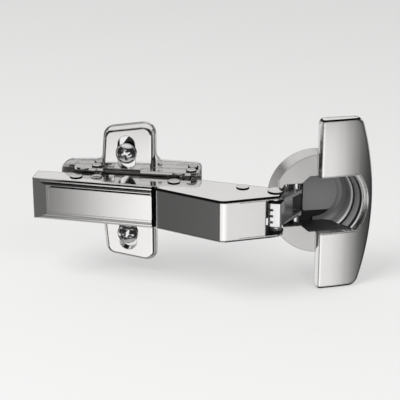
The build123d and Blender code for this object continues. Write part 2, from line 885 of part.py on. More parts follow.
# Closing spring: close coils round the spring pin, one leg forward, one leg to the arm
with BuildPart() as closing_spring:
    with BuildSketch(Plane(origin=(spring_x, -spring_v, 0), x_dir=(1, 0, 0), z_dir=(0, -1, 0))):
        with BuildLine():
            turns = round(2 * coil_half / closing_wire)
            pitch = 2 * coil_half / turns
            ribs = []
            for coil in range(turns):
                low = -coil_half + coil * pitch
                ribs.append((coil_r - 0.3, low))
                ribs.append((coil_r, low + pitch * 0.3))
                ribs.append((coil_r, low + pitch * 0.7))
            ribs.append((coil_r - 0.3, coil_half))
            ribs.append((coil_r - closing_wire, coil_half))
            ribs.append((coil_r - closing_wire, -coil_half))
            Polyline(ribs, close=True)
        make_face()
    revolve(axis=Axis((spring_x, -spring_v, 0), (0, 0, 1)))
    leg_start = (spring_x, -spring_v - coil_r + closing_wire / 2, coil_half - closing_wire / 2)
    with BuildSketch(Plane(origin=leg_start, z_dir=(front_leg, -front_leg_rise, 0))):
        Circle(closing_wire / 2 - 0.02)
    extrude(amount=front_leg)
    back_start = (spring_x - back_leg_x, -spring_v - back_leg_v, -coil_half + closing_wire / 2)
    with BuildSketch(Plane(origin=back_start, z_dir=(-back_leg_run, -back_leg_rise, 0))):
        Circle(closing_wire / 2 - 0.02)
    extrude(amount=back_leg_rise)
closing_spring.part.label = "closing_spring"
export_step(closing_spring.part, "parts/closing_spring.step")

# Bushes on the front pin
with BuildPart() as pivot_bushes:
    with BuildSketch(side.offset(-bush_outer), side.offset(bush_inner)):
        with Locations((front_pivot_x, front_pivot_v)):
            Circle(bush_r)
            Circle(front_pin_r + fit_gap, mode=Mode.SUBTRACT)
    extrude(amount=bush_outer - bush_inner)
pivot_bushes.part.label = "pivot_bushes"
export_step(pivot_bushes.part, "parts/pivot_bushes.step")

# Outer link: slotted barrel on the front pin, two cheeks, web on the outer side
link_dx = outer_cup_x - front_pivot_x
link_dv = outer_cup_v - front_pivot_v
link_length = math.hypot(link_dx, link_dv)
link_plane = Plane(
    origin=(front_pivot_x, -front_pivot_v, 0),
    x_dir=(link_dx, -link_dv, 0),
    z_dir=(0, 0, -1),
)
with BuildPart() as outer_link:
    with BuildSketch(side) as barrel:
        with Locations((front_pivot_x, front_pivot_v)):
            Rectangle(2 * barrel_r, barrel_r, align=(Align.CENTER, Align.MIN))
        fillet(barrel.vertices().sort_by(Axis.Y)[-2:], barrel_corner)
        with Locations((front_pivot_x, front_pivot_v)):
            Circle(barrel_r)
    extrude(amount=barrel_half, both=True)
    with BuildSketch(link_plane):
        with BuildLine():
            Polyline(
                (0, web_low),
                (web_reach, web_low),
                (web_reach, cheek_high),
                (0, cheek_high),
                close=True,
            )
        make_face()
    extrude(amount=barrel_half, both=True)
    with BuildSketch(link_plane.offset(cheek_inner), link_plane.offset(-barrel_half)):
        with BuildLine():
            Polyline(
                (0, -cheek_low),
                (link_length, -cheek_low),
                (link_length, cheek_high),
                (0, cheek_high),
                close=True,
            )
        make_face()
        with Locations((link_length, 0)):
            Circle(outer_eye_r)
    extrude(amount=barrel_half - cheek_inner)
    with BuildSketch(link_plane):
        Circle(front_pin_r + fit_gap)
    extrude(amount=barrel_half, both=True, mode=Mode.SUBTRACT)
    with BuildSketch(link_plane):
        with Locations((link_length, 0)):
            Circle(stub_r + fit_gap)
    extrude(amount=barrel_half, both=True, mode=Mode.SUBTRACT)
    with BuildSketch(Plane(origin=(front_pivot_x - barrel_r, -front_pivot_v, 0), z_dir=(1, 0, 0))):
        with Locations((0, middle_slot_z)):
            with GridLocations(2 * barrel_r, slot_pitch, 1, 3):
                Rectangle(2 * barrel_r, barrel_slot)
    extrude(amount=barrel_slot_depth, mode=Mode.SUBTRACT)
outer_link.part.label = "outer_link"
export_step(outer_link.part, "parts/outer_link.step")

# Inner link: cranked strip, eye on the cup pin, slotted tail round the rear pivot pin
tail_turn = math.degrees(math.atan2(inner_cup_w - rear_pivot_w, inner_cup_s - rear_pivot_s)) + 90
tail_s = rear_pivot_s + tail_travel / 2 * math.cos(math.radians(tail_turn))
tail_w = rear_pivot_w + tail_travel / 2 * math.sin(math.radians(tail_turn))
with BuildPart() as inner_link:
    with BuildSketch(door_side) as inner_profile:
        with BuildLine() as inner_line:
            Polyline(
                (inner_cup_s, inner_cup_w),
                (inner_hook_s, inner_hook_w),
                (inner_crank_s, inner_crank_w),
                (tail_s, tail_w),
            )
            fillet(inner_line.vertices().sort_by(Axis.X)[1:3], inner_bend_r)
            offset(amount=inner_width / 2)
        make_face()
        with Locations((inner_cup_s, inner_cup_w)):
            Circle(inner_eye_r)
        with Locations((tail_s, tail_w)):
            SlotCenterToCenter(tail_travel, 2 * (tail_slot_r + tail_wall), rotation=tail_turn)
    extrude(amount=inner_half, both=True)
    with BuildSketch(door_side):
        with Locations((inner_cup_s, inner_cup_w)):
            Circle(inner_cup_r + fit_gap)
        with Locations((tail_s, tail_w)):
            SlotCenterToCenter(tail_travel, 2 * tail_slot_r, rotation=tail_turn)
    extrude(amount=inner_half, both=True, mode=Mode.SUBTRACT)
inner_link.part.label = "inner_link"
export_step(inner_link.part, "parts/inner_link.step")

# Cup: drilled body, stepped pocket, flange and screw wings
with BuildPart() as hinge_cup:
    with BuildSketch(door):
        Circle(cup_r)
    extrude(amount=-cup_depth)
    chamfer(hinge_cup.edges().sort_by(Axis((cup_x, -cup_v, 0), out))[0], 0.6)
    with BuildSketch(door):
        Circle(flange_r)
        with Locations((flange_cut - flange_r, 0)):
            Rectangle(2 * flange_r, 4 * flange_r, mode=Mode.SUBTRACT)
        with Locations(((wing_s0 + wing_s1) / 2, 0)):
            RectangleRounded(wing_s1 - wing_s0, 2 * cup_wing_half, 3.0)
        with Locations((cup_screw_s, cup_screw_z), (cup_screw_s, -cup_screw_z)):
            Circle(cup_screw_r + fit_gap, mode=Mode.SUBTRACT)
    extrude(amount=flange_t)
    with BuildSketch(door.offset(-cup_depth + cup_floor)):
        with BuildLine():
            Polyline(
                (-cup_r, -pocket_rear_half),
                (pocket_rear_s, -pocket_rear_half),
                (pocket_front_s, -pocket_front_half),
                (cup_r, -pocket_front_half),
                (cup_r, pocket_front_half),
                (pocket_front_s, pocket_front_half),
                (pocket_rear_s, pocket_rear_half),
                (-cup_r, pocket_rear_half),
                close=True,
            )
        make_face()
        Circle(cup_bore_r, mode=Mode.INTERSECT)
    extrude(amount=cup_depth + flange_t, mode=Mode.SUBTRACT)
    with BuildSketch(door.offset(-link_notch_depth)):
        with Locations((-cup_r, 0)):
            Rectangle(12, 2 * link_notch_half)
    extrude(amount=link_notch_depth + flange_t, mode=Mode.SUBTRACT)
    with BuildSketch(door_side):
        with Locations((outer_cup_s, outer_cup_w)):
            Circle(stub_r + fit_gap)
        with Locations((inner_cup_s, inner_cup_w)):
            Circle(inner_cup_r + fit_gap)
    extrude(amount=cup_pin_end + fit_gap, both=True, mode=Mode.SUBTRACT)
hinge_cup.part.label = "hinge_cup"
export_step(hinge_cup.part, "parts/hinge_cup.step")

# Plate on the cup's floor
with BuildPart() as cup_insert:
    with BuildSketch(door.offset(-cup_depth + cup_floor)):
        with Locations(((insert_s0 + insert_s1) / 2, (insert_z0 + insert_z1) / 2)):
            RectangleRounded(insert_s1 - insert_s0, insert_z1 - insert_z0, 0.8)
    extrude(amount=insert_t)
cup_insert.part.label = "cup_insert"
export_step(cup_insert.part, "parts/cup_insert.step")

# Stub pins of the outer link and full pin of the inner link
with BuildPart() as outer_cup_pins:
    with BuildSketch(door_side.offset(stub_inner), door_side.offset(-cup_pin_end)):
        with Locations((outer_cup_s, outer_cup_w)):
            Circle(stub_r)
    extrude(amount=cup_pin_end - stub_inner)
outer_cup_pins.part.label = "outer_cup_pins"
export_step(outer_cup_pins.part, "parts/outer_cup_pins.step")

with BuildPart() as inner_cup_pin:
    with BuildSketch(door_side):
        with Locations((inner_cup_s, inner_cup_w)):
            Circle(inner_cup_r)
    extrude(amount=cup_pin_end, both=True)
inner_cup_pin.part.label = "inner_cup_pin"
export_step(inner_cup_pin.part, "parts/inner_cup_pin.step")

# Screws of the cup's flange
with BuildPart() as cup_screws:
    with BuildSketch(door.offset(flange_t)):
        with Locations((cup_screw_s, cup_screw_z), (cup_screw_s, -cup_screw_z)):
            Circle(cup_screw_head_r)
    extrude(amount=cup_screw_head_h, taper=12)
    with BuildSketch(door.offset(flange_t)):
        with Locations((cup_screw_s, cup_screw_z), (cup_screw_s, -cup_screw_z)):
            Circle(cup_neck_r)
    extrude(amount=-flange_t - neck_end)
    with BuildSketch(door.offset(-neck_end)):
        with Locations((cup_screw_s, cup_screw_z), (cup_screw_s, -cup_screw_z)):
            Circle(cup_screw_r)
    extrude(amount=flange_t + neck_end - cup_screw_length)
    with BuildSketch(door.offset(flange_t + cup_screw_head_h)):
        with Locations((cup_screw_s, cup_screw_z), (cup_screw_s, -cup_screw_z)):
            Rectangle(3.6, 0.8)
            Rectangle(0.8, 3.6)
    extrude(amount=-1.0, mode=Mode.SUBTRACT)
cup_screws.part.label = "cup_screws"
export_step(cup_screws.part, "parts/cup_screws.step")

# Cup cover cap: D outline, domed across, cut out round the cup's mouth
cover_right_end = cover_right_s - cover_right_r
cover_right_end = cover_right_end + math.sqrt(cover_right_r**2 - cover_half**2)
with BuildPart() as cup_cover_cap:
    with BuildSketch(door.offset(flange_t)) as cover_outline:
        with BuildLine():
            Polyline(
                (cover_right_end, cover_half),
                (cover_s0, cover_half),
                (cover_s0, -cover_half),
                (cover_right_end, -cover_half),
            )
            ThreePointArc(
                (cover_right_end, -cover_half),
                (cover_right_s, 0),
                (cover_right_end, cover_half),
            )
        make_face()
        fillet(cover_outline.vertices().sort_by(Axis.X)[-2:], cover_corner)
        fillet(cover_outline.vertices().sort_by(Axis.X)[:2], cover_left_corner)
    extrude(amount=2 * cover_top)
    with BuildSketch(door_side):
        with BuildLine():
            Polyline(
                (cover_right_s, cover_right_h),
                (cover_right_s, 0),
                (cover_s0, 0),
                (cover_s0, flange_t + cover_left_h),
                (cover_top_s, cover_top),
            )
            ThreePointArc(
                (cover_top_s, cover_top),
                (cover_mid_s, cover_mid),
                (cover_right_s, cover_right_h),
            )
        make_face()
    extrude(amount=2 * cover_half, both=True, mode=Mode.INTERSECT)
    dome = cup_cover_cap.faces().filter_by(GeomType.CYLINDER).sort_by(SortBy.AREA)[-1]
    fillet(dome.edges(), cover_edge_r)
    with BuildSketch(door):
        with BuildLine():
            Polyline(
                (-cup_r, -cover_notch_half),
                (cup_r, -cover_notch_half),
                (cup_r, cover_notch_half),
                (-cup_r, cover_notch_half),
                close=True,
            )
        make_face()
        Circle(cover_notch_r, mode=Mode.INTERSECT)
    extrude(amount=2 * cover_top, mode=Mode.SUBTRACT)
    with BuildSketch(door):
        with Locations(
            ((cover_pocket_s0 + cover_pocket_s1) / 2, (cover_pocket_z0 + cover_pocket_z1) / 2),
            ((cover_pocket_s0 + cover_pocket_s1) / 2, -(cover_pocket_z0 + cover_pocket_z1) / 2),
        ):
            Rectangle(cover_pocket_s1 - cover_pocket_s0, cover_pocket_z1 - cover_pocket_z0)
    extrude(amount=cover_pocket_top, mode=Mode.SUBTRACT)
cup_cover_cap.part.label = "cup_cover_cap"
export_step(cup_cover_cap.part, "parts/cup_cover_cap.step")
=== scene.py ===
"""Concealed cabinet hinge: finishes, pressed and turned detail, stage, light and camera."""
import logging
import math
from contextlib import contextmanager
from dataclasses import dataclass
from enum import Enum
from typing import Iterable, Iterator, List, Optional, Sequence, Tuple, Union

import bpy
from mathutils import Matrix, Vector


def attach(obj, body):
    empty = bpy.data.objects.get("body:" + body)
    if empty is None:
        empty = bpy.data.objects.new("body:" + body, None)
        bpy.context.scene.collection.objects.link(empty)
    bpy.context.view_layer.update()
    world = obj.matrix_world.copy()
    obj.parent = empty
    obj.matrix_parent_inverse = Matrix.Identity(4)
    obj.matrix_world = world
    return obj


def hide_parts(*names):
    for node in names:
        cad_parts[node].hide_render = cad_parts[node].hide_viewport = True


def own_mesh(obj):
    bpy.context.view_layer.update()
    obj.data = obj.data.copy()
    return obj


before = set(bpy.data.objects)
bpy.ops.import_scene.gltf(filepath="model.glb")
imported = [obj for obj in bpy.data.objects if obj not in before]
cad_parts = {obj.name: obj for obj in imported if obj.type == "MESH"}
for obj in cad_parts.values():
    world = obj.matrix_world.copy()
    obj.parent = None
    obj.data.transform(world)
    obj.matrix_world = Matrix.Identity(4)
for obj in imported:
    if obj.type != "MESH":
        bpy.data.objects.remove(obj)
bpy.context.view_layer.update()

LOG = logging.getLogger("hinge")
MM = 0.001
Colour = Tuple[float, float, float]
Point = Tuple[float, float, float]
Stops = Sequence[Tuple[float, float]]
Operand = Union[bpy.types.NodeSocket, float, Sequence[float]]

# Kinds of maths and mix nodes
NUMBERS = "ShaderNodeMath"
VECTORS = "ShaderNodeVectorMath"
COLOURS = "RGBA"
FLOATS = "FLOAT"

# Distances in metres within which vertices become one
MERGE = 2e-6
WELD = 1e-6
WIRE_WELD = 1e-7

# Angles between faces: flat, rounded off, and shaded smooth
FLAT_ANGLE = math.radians(0.6)
SHARP_ANGLE = math.radians(34.0)
SMOOTH_ANGLE = math.radians(28.0)
TURNED_ANGLE = math.radians(24.0)
WIRE_ANGLE = math.radians(50.0)

# Turns, in radians and in degrees
QUARTER = math.radians(90.0)
HALF_TURN = 180.0

# Plating: depth of its grain, samples of its rounded edges, scale and detail of its noise
BUMP_DEPTH = 0.2 * MM
EDGE_SAMPLES = 6
LINE_SCALE = 2600.0
MOTTLE_SCALE = 90.0
MOTTLE_DETAIL = 4.0
LINE_DETAIL = 3.0

# Places and directions in the shared frame
ORIGIN = (0.0, 0.0, 0.0)
UP = (0.0, 0.0, 1.0)
DOWN = (0.0, 0.0, -1.0)
TO_PANEL = (0.0, 1.0, 0.0)
FROM_PANEL = (0.0, -1.0, 0.0)


class Body(Enum):
    """Rigid bodies of the hinge that new pieces ride on."""

    BASE = "base"
    ARM = "arm"
    OUTER_LINK = "outer_link"
    CUP = "cup"


class Grain(Enum):
    """Direction in which a surface was polished."""

    ALONG_X = (0.06, 1.0, 1.0)
    ALONG_Z = (1.0, 1.0, 0.06)
    NONE = (1.0, 1.0, 1.0)


def only(obj: bpy.types.Object) -> None:
    """Selects one object alone and makes it active.

    Args:
        obj: the object to work on.
    """
    bpy.ops.object.select_all(action="DESELECT")
    obj.select_set(True)
    bpy.context.view_layer.objects.active = obj


def apply_modifiers(obj: bpy.types.Object) -> None:
    """Applies every modifier of an object.

    Args:
        obj: the object whose modifiers become mesh.
    """
    only(obj)
    for name in [m.name for m in obj.modifiers]:
        bpy.ops.object.modifier_apply(modifier=name)


def settle(obj: bpy.types.Object) -> None:
    """Puts an object's place into its mesh.

    Args:
        obj: the object that ends at the origin, unturned and unscaled.
    """
    only(obj)
    bpy.ops.object.transform_apply(location=True, rotation=True, scale=True)


@contextmanager
def editing(obj: bpy.types.Object) -> Iterator[None]:
    """Holds an object in edit mode, at first with its whole mesh selected.

    Args:
        obj: the object.
    """
    only(obj)
    bpy.ops.object.mode_set(mode="EDIT")
    bpy.ops.mesh.select_all(action="SELECT")
    yield
    bpy.ops.object.mode_set(mode="OBJECT")


def smooth(obj: bpy.types.Object, angle: float) -> None:
    """Shades an object smooth, apart from its sharp edges.

    Args:
        obj: the object.
        angle: edges sharper than this stay sharp, in radians.
    """
    only(obj)
    bpy.ops.object.shade_smooth_by_angle(angle=angle)


def feed(tree: bpy.types.NodeTree, socket: bpy.types.NodeSocket, value: Operand) -> None:
    """Links an input to another socket, or sets it to a constant.

    Args:
        tree: the node tree.
        socket: the input.
        value: a socket or a constant.
    """
    if isinstance(value, bpy.types.NodeSocket):
        tree.links.new(value, socket)
    else:
        socket.default_value = value


def combine(
    tree: bpy.types.NodeTree, operation: str, *operands: Operand, kind: str = NUMBERS
) -> bpy.types.NodeSocket:
    """Adds a maths node.

    Args:
        tree: the node tree.
        operation: what the node does.
        operands: its inputs in their order.
        kind: NUMBERS or VECTORS.

    Returns:
        The node's result.
    """
    node = tree.nodes.new(kind)
    node.operation = operation
    for socket, value in zip(node.inputs, operands):
        feed(tree, socket, value)
    single = kind == NUMBERS or operation in ("DOT_PRODUCT", "LENGTH")
    return node.outputs["Value" if single else "Vector"]


def blend(
    tree: bpy.types.NodeTree,
    factor: Operand,
    first: Operand,
    second: Operand,
    kind: str = COLOURS,
    mode: str = "MIX",
) -> bpy.types.NodeSocket:
    """Mixes two colours or two numbers.

    Args:
        tree: the node tree.
        factor: share of the second one.
        first: the first one.
        second: the second one.
        kind: COLOURS or FLOATS.
        mode: how colours are mixed.

    Returns:
        The mixture.
    """
    node = tree.nodes.new("ShaderNodeMix")
    node.data_type = kind
    node.blend_type = mode
    feed(tree, node.inputs["Factor"], factor)
    feed(tree, node.inputs["A"], first)
    feed(tree, node.inputs["B"], second)
    return node.outputs["Result"]


def noise(
    tree: bpy.types.NodeTree, where: Operand, scale: Operand, detail: float = 2.0
) -> bpy.types.NodeSocket:
    """Adds a noise.

    Args:
        tree: the node tree.
        where: its coordinates.
        scale: its scale.
        detail: its detail.

    Returns:
        The noise, from 0 to 1.
    """
    node = tree.nodes.new("ShaderNodeTexNoise")
    feed(tree, node.inputs["Vector"], where)
    feed(tree, node.inputs["Scale"], scale)
    feed(tree, node.inputs["Detail"], detail)
    return node.outputs["Fac"]


def share_of(
    tree: bpy.types.NodeTree, value: bpy.types.NodeSocket, low: float, high: float
) -> bpy.types.NodeSocket:
    """Maps a range of values to shares from 0 to 1.

    Args:
        tree: the node tree.
        value: the value.
        low: value of share 0.
        high: value of share 1.

    Returns:
        The share.
    """
    node = tree.nodes.new("ShaderNodeMapRange")
    feed(tree, node.inputs["Value"], value)
    node.inputs["From Min"].default_value = low
    node.inputs["From Max"].default_value = high
    return node.outputs["Result"]


def grey_ramp(
    tree: bpy.types.NodeTree, share: bpy.types.NodeSocket, stops: Stops, soft: bool = True
) -> bpy.types.NodeSocket:
    """Turns a share into a grey level.

    Args:
        tree: the node tree.
        share: the share, from 0 to 1.
        stops: shares with their levels.
        soft: whether the levels ease into each other.

    Returns:
        The grey colour.
    """
    ramp = tree.nodes.new("ShaderNodeValToRGB")
    ramp.color_ramp.interpolation = "EASE" if soft else "LINEAR"
    elements = ramp.color_ramp.elements
    elements.remove(elements[-1])
    elements[0].position = stops[0][0]
    for place, _ in stops[1:]:
        elements.new(place)
    for stop, (_, level) in zip(elements, stops):
        stop.color = (level, level, level, 1.0)
    tree.links.new(share, ramp.inputs["Fac"])
    return ramp.outputs["Color"]


def as_shares(stops: Stops, low: float, high: float) -> List[Tuple[float, float]]:
    """Returns stops whose places are shares of the range from low to high."""
    return [((place - low) / (high - low), level) for place, level in stops]


def mix_shaders(
    tree: bpy.types.NodeTree,
    factor: bpy.types.NodeSocket,
    first: bpy.types.NodeSocket,
    second: bpy.types.NodeSocket,
) -> bpy.types.NodeSocket:
    """Mixes two shaders.

    Args:
        tree: the node tree.
        factor: share of the second one.
        first: the first shader.
        second: the second shader.

    Returns:
        The mixed shader.
    """
    node = tree.nodes.new("ShaderNodeMixShader")
    for socket, value in zip(node.inputs, (factor, first, second)):
        tree.links.new(value, socket)
    return node.outputs["Shader"]


def object_place(tree: bpy.types.NodeTree) -> bpy.types.NodeSocket:
    """Returns the shaded point in the object's coordinates."""
    return tree.nodes.new("ShaderNodeTexCoord").outputs["Object"]


def about_axis(
    tree: bpy.types.NodeTree, centre: Point, out: Point
) -> Tuple[bpy.types.NodeSocket, bpy.types.NodeSocket]:
    """Measures where the shaded point lies about an axis.

    Args:
        tree: the node tree.
        centre: a point of the axis.
        out: direction of the axis.

    Returns:
        Its distance from the axis and its height along it.
    """
    start = combine(tree, "SUBTRACT", object_place(tree), centre, kind=VECTORS)
    height = combine(tree, "DOT_PRODUCT", start, out, kind=VECTORS)
    across = combine(tree, "CROSS_PRODUCT", start, out, kind=VECTORS)
    return combine(tree, "LENGTH", across, kind=VECTORS), height


class PlatedSurfaceGroup:
    """Shared node group: mottled plating, polishing lines and fine grain."""

    NAME = "plated_surface"
    INPUTS = (
        ("Colour", "NodeSocketColor", (0.7, 0.7, 0.7, 1.0)),
        ("Shade", "NodeSocketColor", (0.5, 0.5, 0.5, 1.0)),
        ("Roughness", "NodeSocketFloat", 0.15),
        ("Spread", "NodeSocketFloat", 0.05),
        ("Mottle Scale", "NodeSocketFloat", MOTTLE_SCALE),
        ("Line Scale", "NodeSocketFloat", LINE_SCALE),
        ("Line Stretch", "NodeSocketVector", (1.0, 1.0, 1.0)),
    )
    OUTPUTS = (
        ("Colour", "NodeSocketColor"),
        ("Roughness", "NodeSocketFloat"),
        ("Height", "NodeSocketFloat"),
    )

    @classmethod
    def get(cls) -> bpy.types.NodeTree:
        """Returns the group, built on first use."""
        found = bpy.data.node_groups.get(cls.NAME)
        return found if found else cls._build()

    @classmethod
    def _build(cls) -> bpy.types.NodeTree:
        """Builds the group.

        Returns:
            The node tree with its sockets.
        """
        tree = bpy.data.node_groups.new(cls.NAME, "ShaderNodeTree")
        for name, kind, default in cls.INPUTS:
            socket = tree.interface.new_socket(name=name, in_out="INPUT", socket_type=kind)
            socket.default_value = default
        for name, kind in cls.OUTPUTS:
            tree.interface.new_socket(name=name, in_out="OUTPUT", socket_type=kind)
        given = tree.nodes.new("NodeGroupInput").outputs
        result = tree.nodes.new("NodeGroupOutput").inputs
        where = object_place(tree)
        mottle = noise(tree, where, given["Mottle Scale"], MOTTLE_DETAIL)
        stretched = combine(tree, "MULTIPLY", where, given["Line Stretch"], kind=VECTORS)
        lines = noise(tree, stretched, given["Line Scale"], LINE_DETAIL)
        both = combine(tree, "MULTIPLY_ADD", mottle, 0.5, lines)
        centred = combine(tree, "SUBTRACT", both, 0.5)
        rough = combine(tree, "MULTIPLY_ADD", centred, given["Spread"], given["Roughness"])
        feed(tree, result["Colour"], blend(tree, mottle, given["Colour"], given["Shade"]))
        feed(tree, result["Roughness"], rough)
        feed(tree, result["Height"], lines)
        return tree


@dataclass(frozen=True)
class PaintedShadePocket:
    """A round pocket whose inside keeps a dull plating; its dark colour is painted shade for the hollow.
    """

    centre: Point
    out: Point
    radius: float
    rim: float
    floor: float
    colour: Colour
    roughness: float
    metallic: float

    def mask(self, tree: bpy.types.NodeTree) -> bpy.types.NodeSocket:
        """Returns a mask that is one inside the pocket."""
        radius, height = about_axis(tree, self.centre, self.out)
        below = combine(tree, "LESS_THAN", height, self.rim)
        inner = combine(tree, "LESS_THAN", radius, self.radius)
        above = combine(tree, "GREATER_THAN", height, self.floor)
        return combine(tree, "MULTIPLY", combine(tree, "MULTIPLY", below, inner), above)


@dataclass(frozen=True)
class PaintedDark:
    """A box, in millimetres, where the plating is painted dull and dark: painted shade in gaps, openings
    and under heads, and painted dark reflections along rounded edges.
    """

    low: Point
    high: Point

    def mask(self, tree: bpy.types.NodeTree) -> bpy.types.NodeSocket:
        """Returns a mask that is one inside the box."""
        where = object_place(tree)
        above = combine(tree, "SUBTRACT", where, [v * MM for v in self.low], kind=VECTORS)
        below = combine(tree, "SUBTRACT", [v * MM for v in self.high], where, kind=VECTORS)
        split = tree.nodes.new("ShaderNodeSeparateXYZ")
        feed(tree, split.inputs["Vector"], combine(tree, "MINIMUM", above, below, kind=VECTORS))
        pair = combine(tree, "MINIMUM", split.outputs["X"], split.outputs["Y"])
        least = combine(tree, "MINIMUM", pair, split.outputs["Z"])
        return combine(tree, "GREATER_THAN", least, 0.0)


@dataclass(frozen=True)
class PaintedLightRings:
    """Painted highlights and painted shade round an axis: grey levels of the plating by distance from it
    in millimetres.
    """

    centre: Point
    out: Point
    stops: Tuple[Tuple[float, float], ...]

    def paint_light(self, tree: bpy.types.NodeTree, colour: bpy.types.NodeSocket) -> bpy.types.NodeSocket:
        """Returns the plating's colour with the painted bright and dark rings multiplied in."""
        low, high = self.stops[0][0], self.stops[-1][0]
        radius, _ = about_axis(tree, self.centre, self.out)
        share = share_of(tree, radius, low * MM, high * MM)
        levels = grey_ramp(tree, share, as_shares(self.stops, low, high), soft=False)
        return blend(tree, 1.0, colour, levels, mode="MULTIPLY")


@dataclass(frozen=True)
class Finish:
    """A surface finish of the hinge, made into a material once; it may hold painted shade, painted dark
    reflections and painted highlights.
    """

    slot: str
    colour: Colour
    shade: Colour
    roughness: float
    spread: float = 0.05
    metallic: float = 1.0
    grain: Grain = Grain.NONE
    line_scale: float = LINE_SCALE
    bump: float = 0.02
    edge: float = 0.30 * MM
    pocket: Optional[PaintedShadePocket] = None
    shaded: Tuple[PaintedDark, ...] = ()
    rings: Optional[PaintedLightRings] = None
    name: str = ""

    def title(self) -> str:
        """Returns the material's name."""
        return (self.name or self.slot) + "_finish"

    def material(self) -> bpy.types.Material:
        """Returns the finish as a material, built on first use."""
        found = bpy.data.materials.get(self.title())
        return found if found else self._build()

    def _build(self) -> bpy.types.Material:
        """Builds the material's nodes.

        Returns:
            The material.
        """
        mat = bpy.data.materials.new(self.title())
        mat.use_nodes = True
        tree = mat.node_tree
        nodes, links = tree.nodes, tree.links
        shader = nodes["Principled BSDF"]
        shader.inputs["Metallic"].default_value = self.metallic
        group = nodes.new("ShaderNodeGroup")
        group.node_tree = PlatedSurfaceGroup.get()
        group.inputs["Colour"].default_value = (*self.colour, 1.0)
        group.inputs["Shade"].default_value = (*self.shade, 1.0)
        group.inputs["Roughness"].default_value = self.roughness
        group.inputs["Spread"].default_value = self.spread
        group.inputs["Line Scale"].default_value = self.line_scale
        group.inputs["Line Stretch"].default_value = self.grain.value
        bump = nodes.new("ShaderNodeBump")
        bump.inputs["Strength"].default_value = self.bump
        bump.inputs["Distance"].default_value = BUMP_DEPTH
        rounding = nodes.new("ShaderNodeBevel")
        rounding.samples = EDGE_SAMPLES
        rounding.inputs["Radius"].default_value = self.edge
        links.new(rounding.outputs["Normal"], bump.inputs["Normal"])
        colour, rough = group.outputs["Colour"], group.outputs["Roughness"]
        # Painted shade: the pocket's inside gets its dark colour, with duller plating.
        if self.pocket:
            mask = self.pocket.mask(tree)
            colour = blend(tree, mask, colour, (*self.pocket.colour, 1.0))
            rough = blend(tree, mask, rough, self.pocket.roughness, kind=FLOATS)
            metal = blend(tree, mask, self.metallic, self.pocket.metallic, kind=FLOATS)
            links.new(metal, shader.inputs["Metallic"])
        # Painted highlights and painted shade: the rings multiply bright and dark levels into the colour.
        if self.rings:
            colour = self.rings.paint_light(tree, colour)
        # Painted shade and painted dark reflections: each box turns the plating near black and dull.
        for box in self.shaded:
            mask = box.mask(tree)
            colour = blend(tree, mask, colour, (*PAINTED_DARK_COLOUR, 1.0))
            rough = blend(tree, mask, rough, PAINTED_DARK_ROUGHNESS, kind=FLOATS)
        links.new(colour, shader.inputs["Base Color"])
        links.new(rough, shader.inputs["Roughness"])
        links.new(group.outputs["Height"], bump.inputs["Height"])
        links.new(bump.outputs["Normal"], shader.inputs["Normal"])
        return mat

    def dress(self, obj: bpy.types.Object) -> None:
        """Gives an object this finish.

        Args:
            obj: a new piece or a CAD node.
        """
        obj.data.materials.clear()
        obj.data.materials.append(self.material())


# Colour and roughness of the painted shade and painted dark reflections.
PAINTED_DARK_COLOUR = (0.012, 0.012, 0.012)
PAINTED_DARK_ROUGHNESS = 0.55
DOOR_TURN = math.radians(20.0)
DOOR_OUT = (math.sin(DOOR_TURN), -math.cos(DOOR_TURN), 0.0)
DOOR_ALONG = (math.cos(DOOR_TURN), math.sin(DOOR_TURN), 0.0)
CUP_CENTRE = (73.0 * MM, -1.8 * MM, 0.0)
PLATE = Finish("plate_nickel", (0.79, 0.78, 0.77), (0.72, 0.71, 0.70), 0.10, 0.03, edge=0.4 * MM)
# Painted shade in the gap between cap and arm and inside the arm's mouth, a painted shadow round the
# dimple, and painted dark reflections along the arm's top and foot edges.
CAP_GAP_SHADE = PaintedDark((12.2, -17.9, -7.95), (13.55, -16.5, 7.95))
MOUTH_TOP_SHADE = PaintedDark((46.0, -30.0, 6.6), (62.0, -5.0, 6.76))
MOUTH_FLOOR_SHADE = PaintedDark((46.0, -30.0, -6.76), (62.0, -5.0, -6.6))
ARM_TOP_REFLECTION_LINE = PaintedDark((13.6, -31.0, 7.25), (60.0, -16.9, 7.92))
ARM_FOOT_REFLECTION_LINE = PaintedDark((41.0, -31.0, -7.99), (60.0, -20.0, -7.40))
DIMPLE_RIM_SHADOW = PaintedDark((-13.0, -12.5, 8.02), (-7.5, -7.0, 8.32))
ARM = Finish(
    "arm_nickel",
    (0.79, 0.78, 0.77),
    (0.73, 0.72, 0.71),
    0.10,
    0.03,
    grain=Grain.ALONG_X,
    edge=0.6 * MM,
    shaded=(CAP_GAP_SHADE, MOUTH_TOP_SHADE, MOUTH_FLOOR_SHADE, ARM_TOP_REFLECTION_LINE, ARM_FOOT_REFLECTION_LINE, DIMPLE_RIM_SHADOW),
)
# Painted dark reflections along the cap's rim, its step and the panel's top border.
CAP_RIM_REFLECTION_LINE = PaintedDark((-40.0, -19.6, 7.38), (20.0, -15.0, 7.86))
CAP_STEP_REFLECTION_LINE = PaintedDark((-40.0, -19.6, 6.36), (20.0, -15.0, 6.78))
CAP_PANEL_REFLECTION_LINE = PaintedDark((-26.6, -19.6, 4.98), (12.0, -15.0, 5.50))
CAP = Finish(
    "cap_nickel",
    (0.82, 0.81, 0.80),
    (0.76, 0.75, 0.74),
    0.10,
    0.012,
    bump=0.004,
    shaded=(CAP_RIM_REFLECTION_LINE, CAP_STEP_REFLECTION_LINE, CAP_PANEL_REFLECTION_LINE),
)
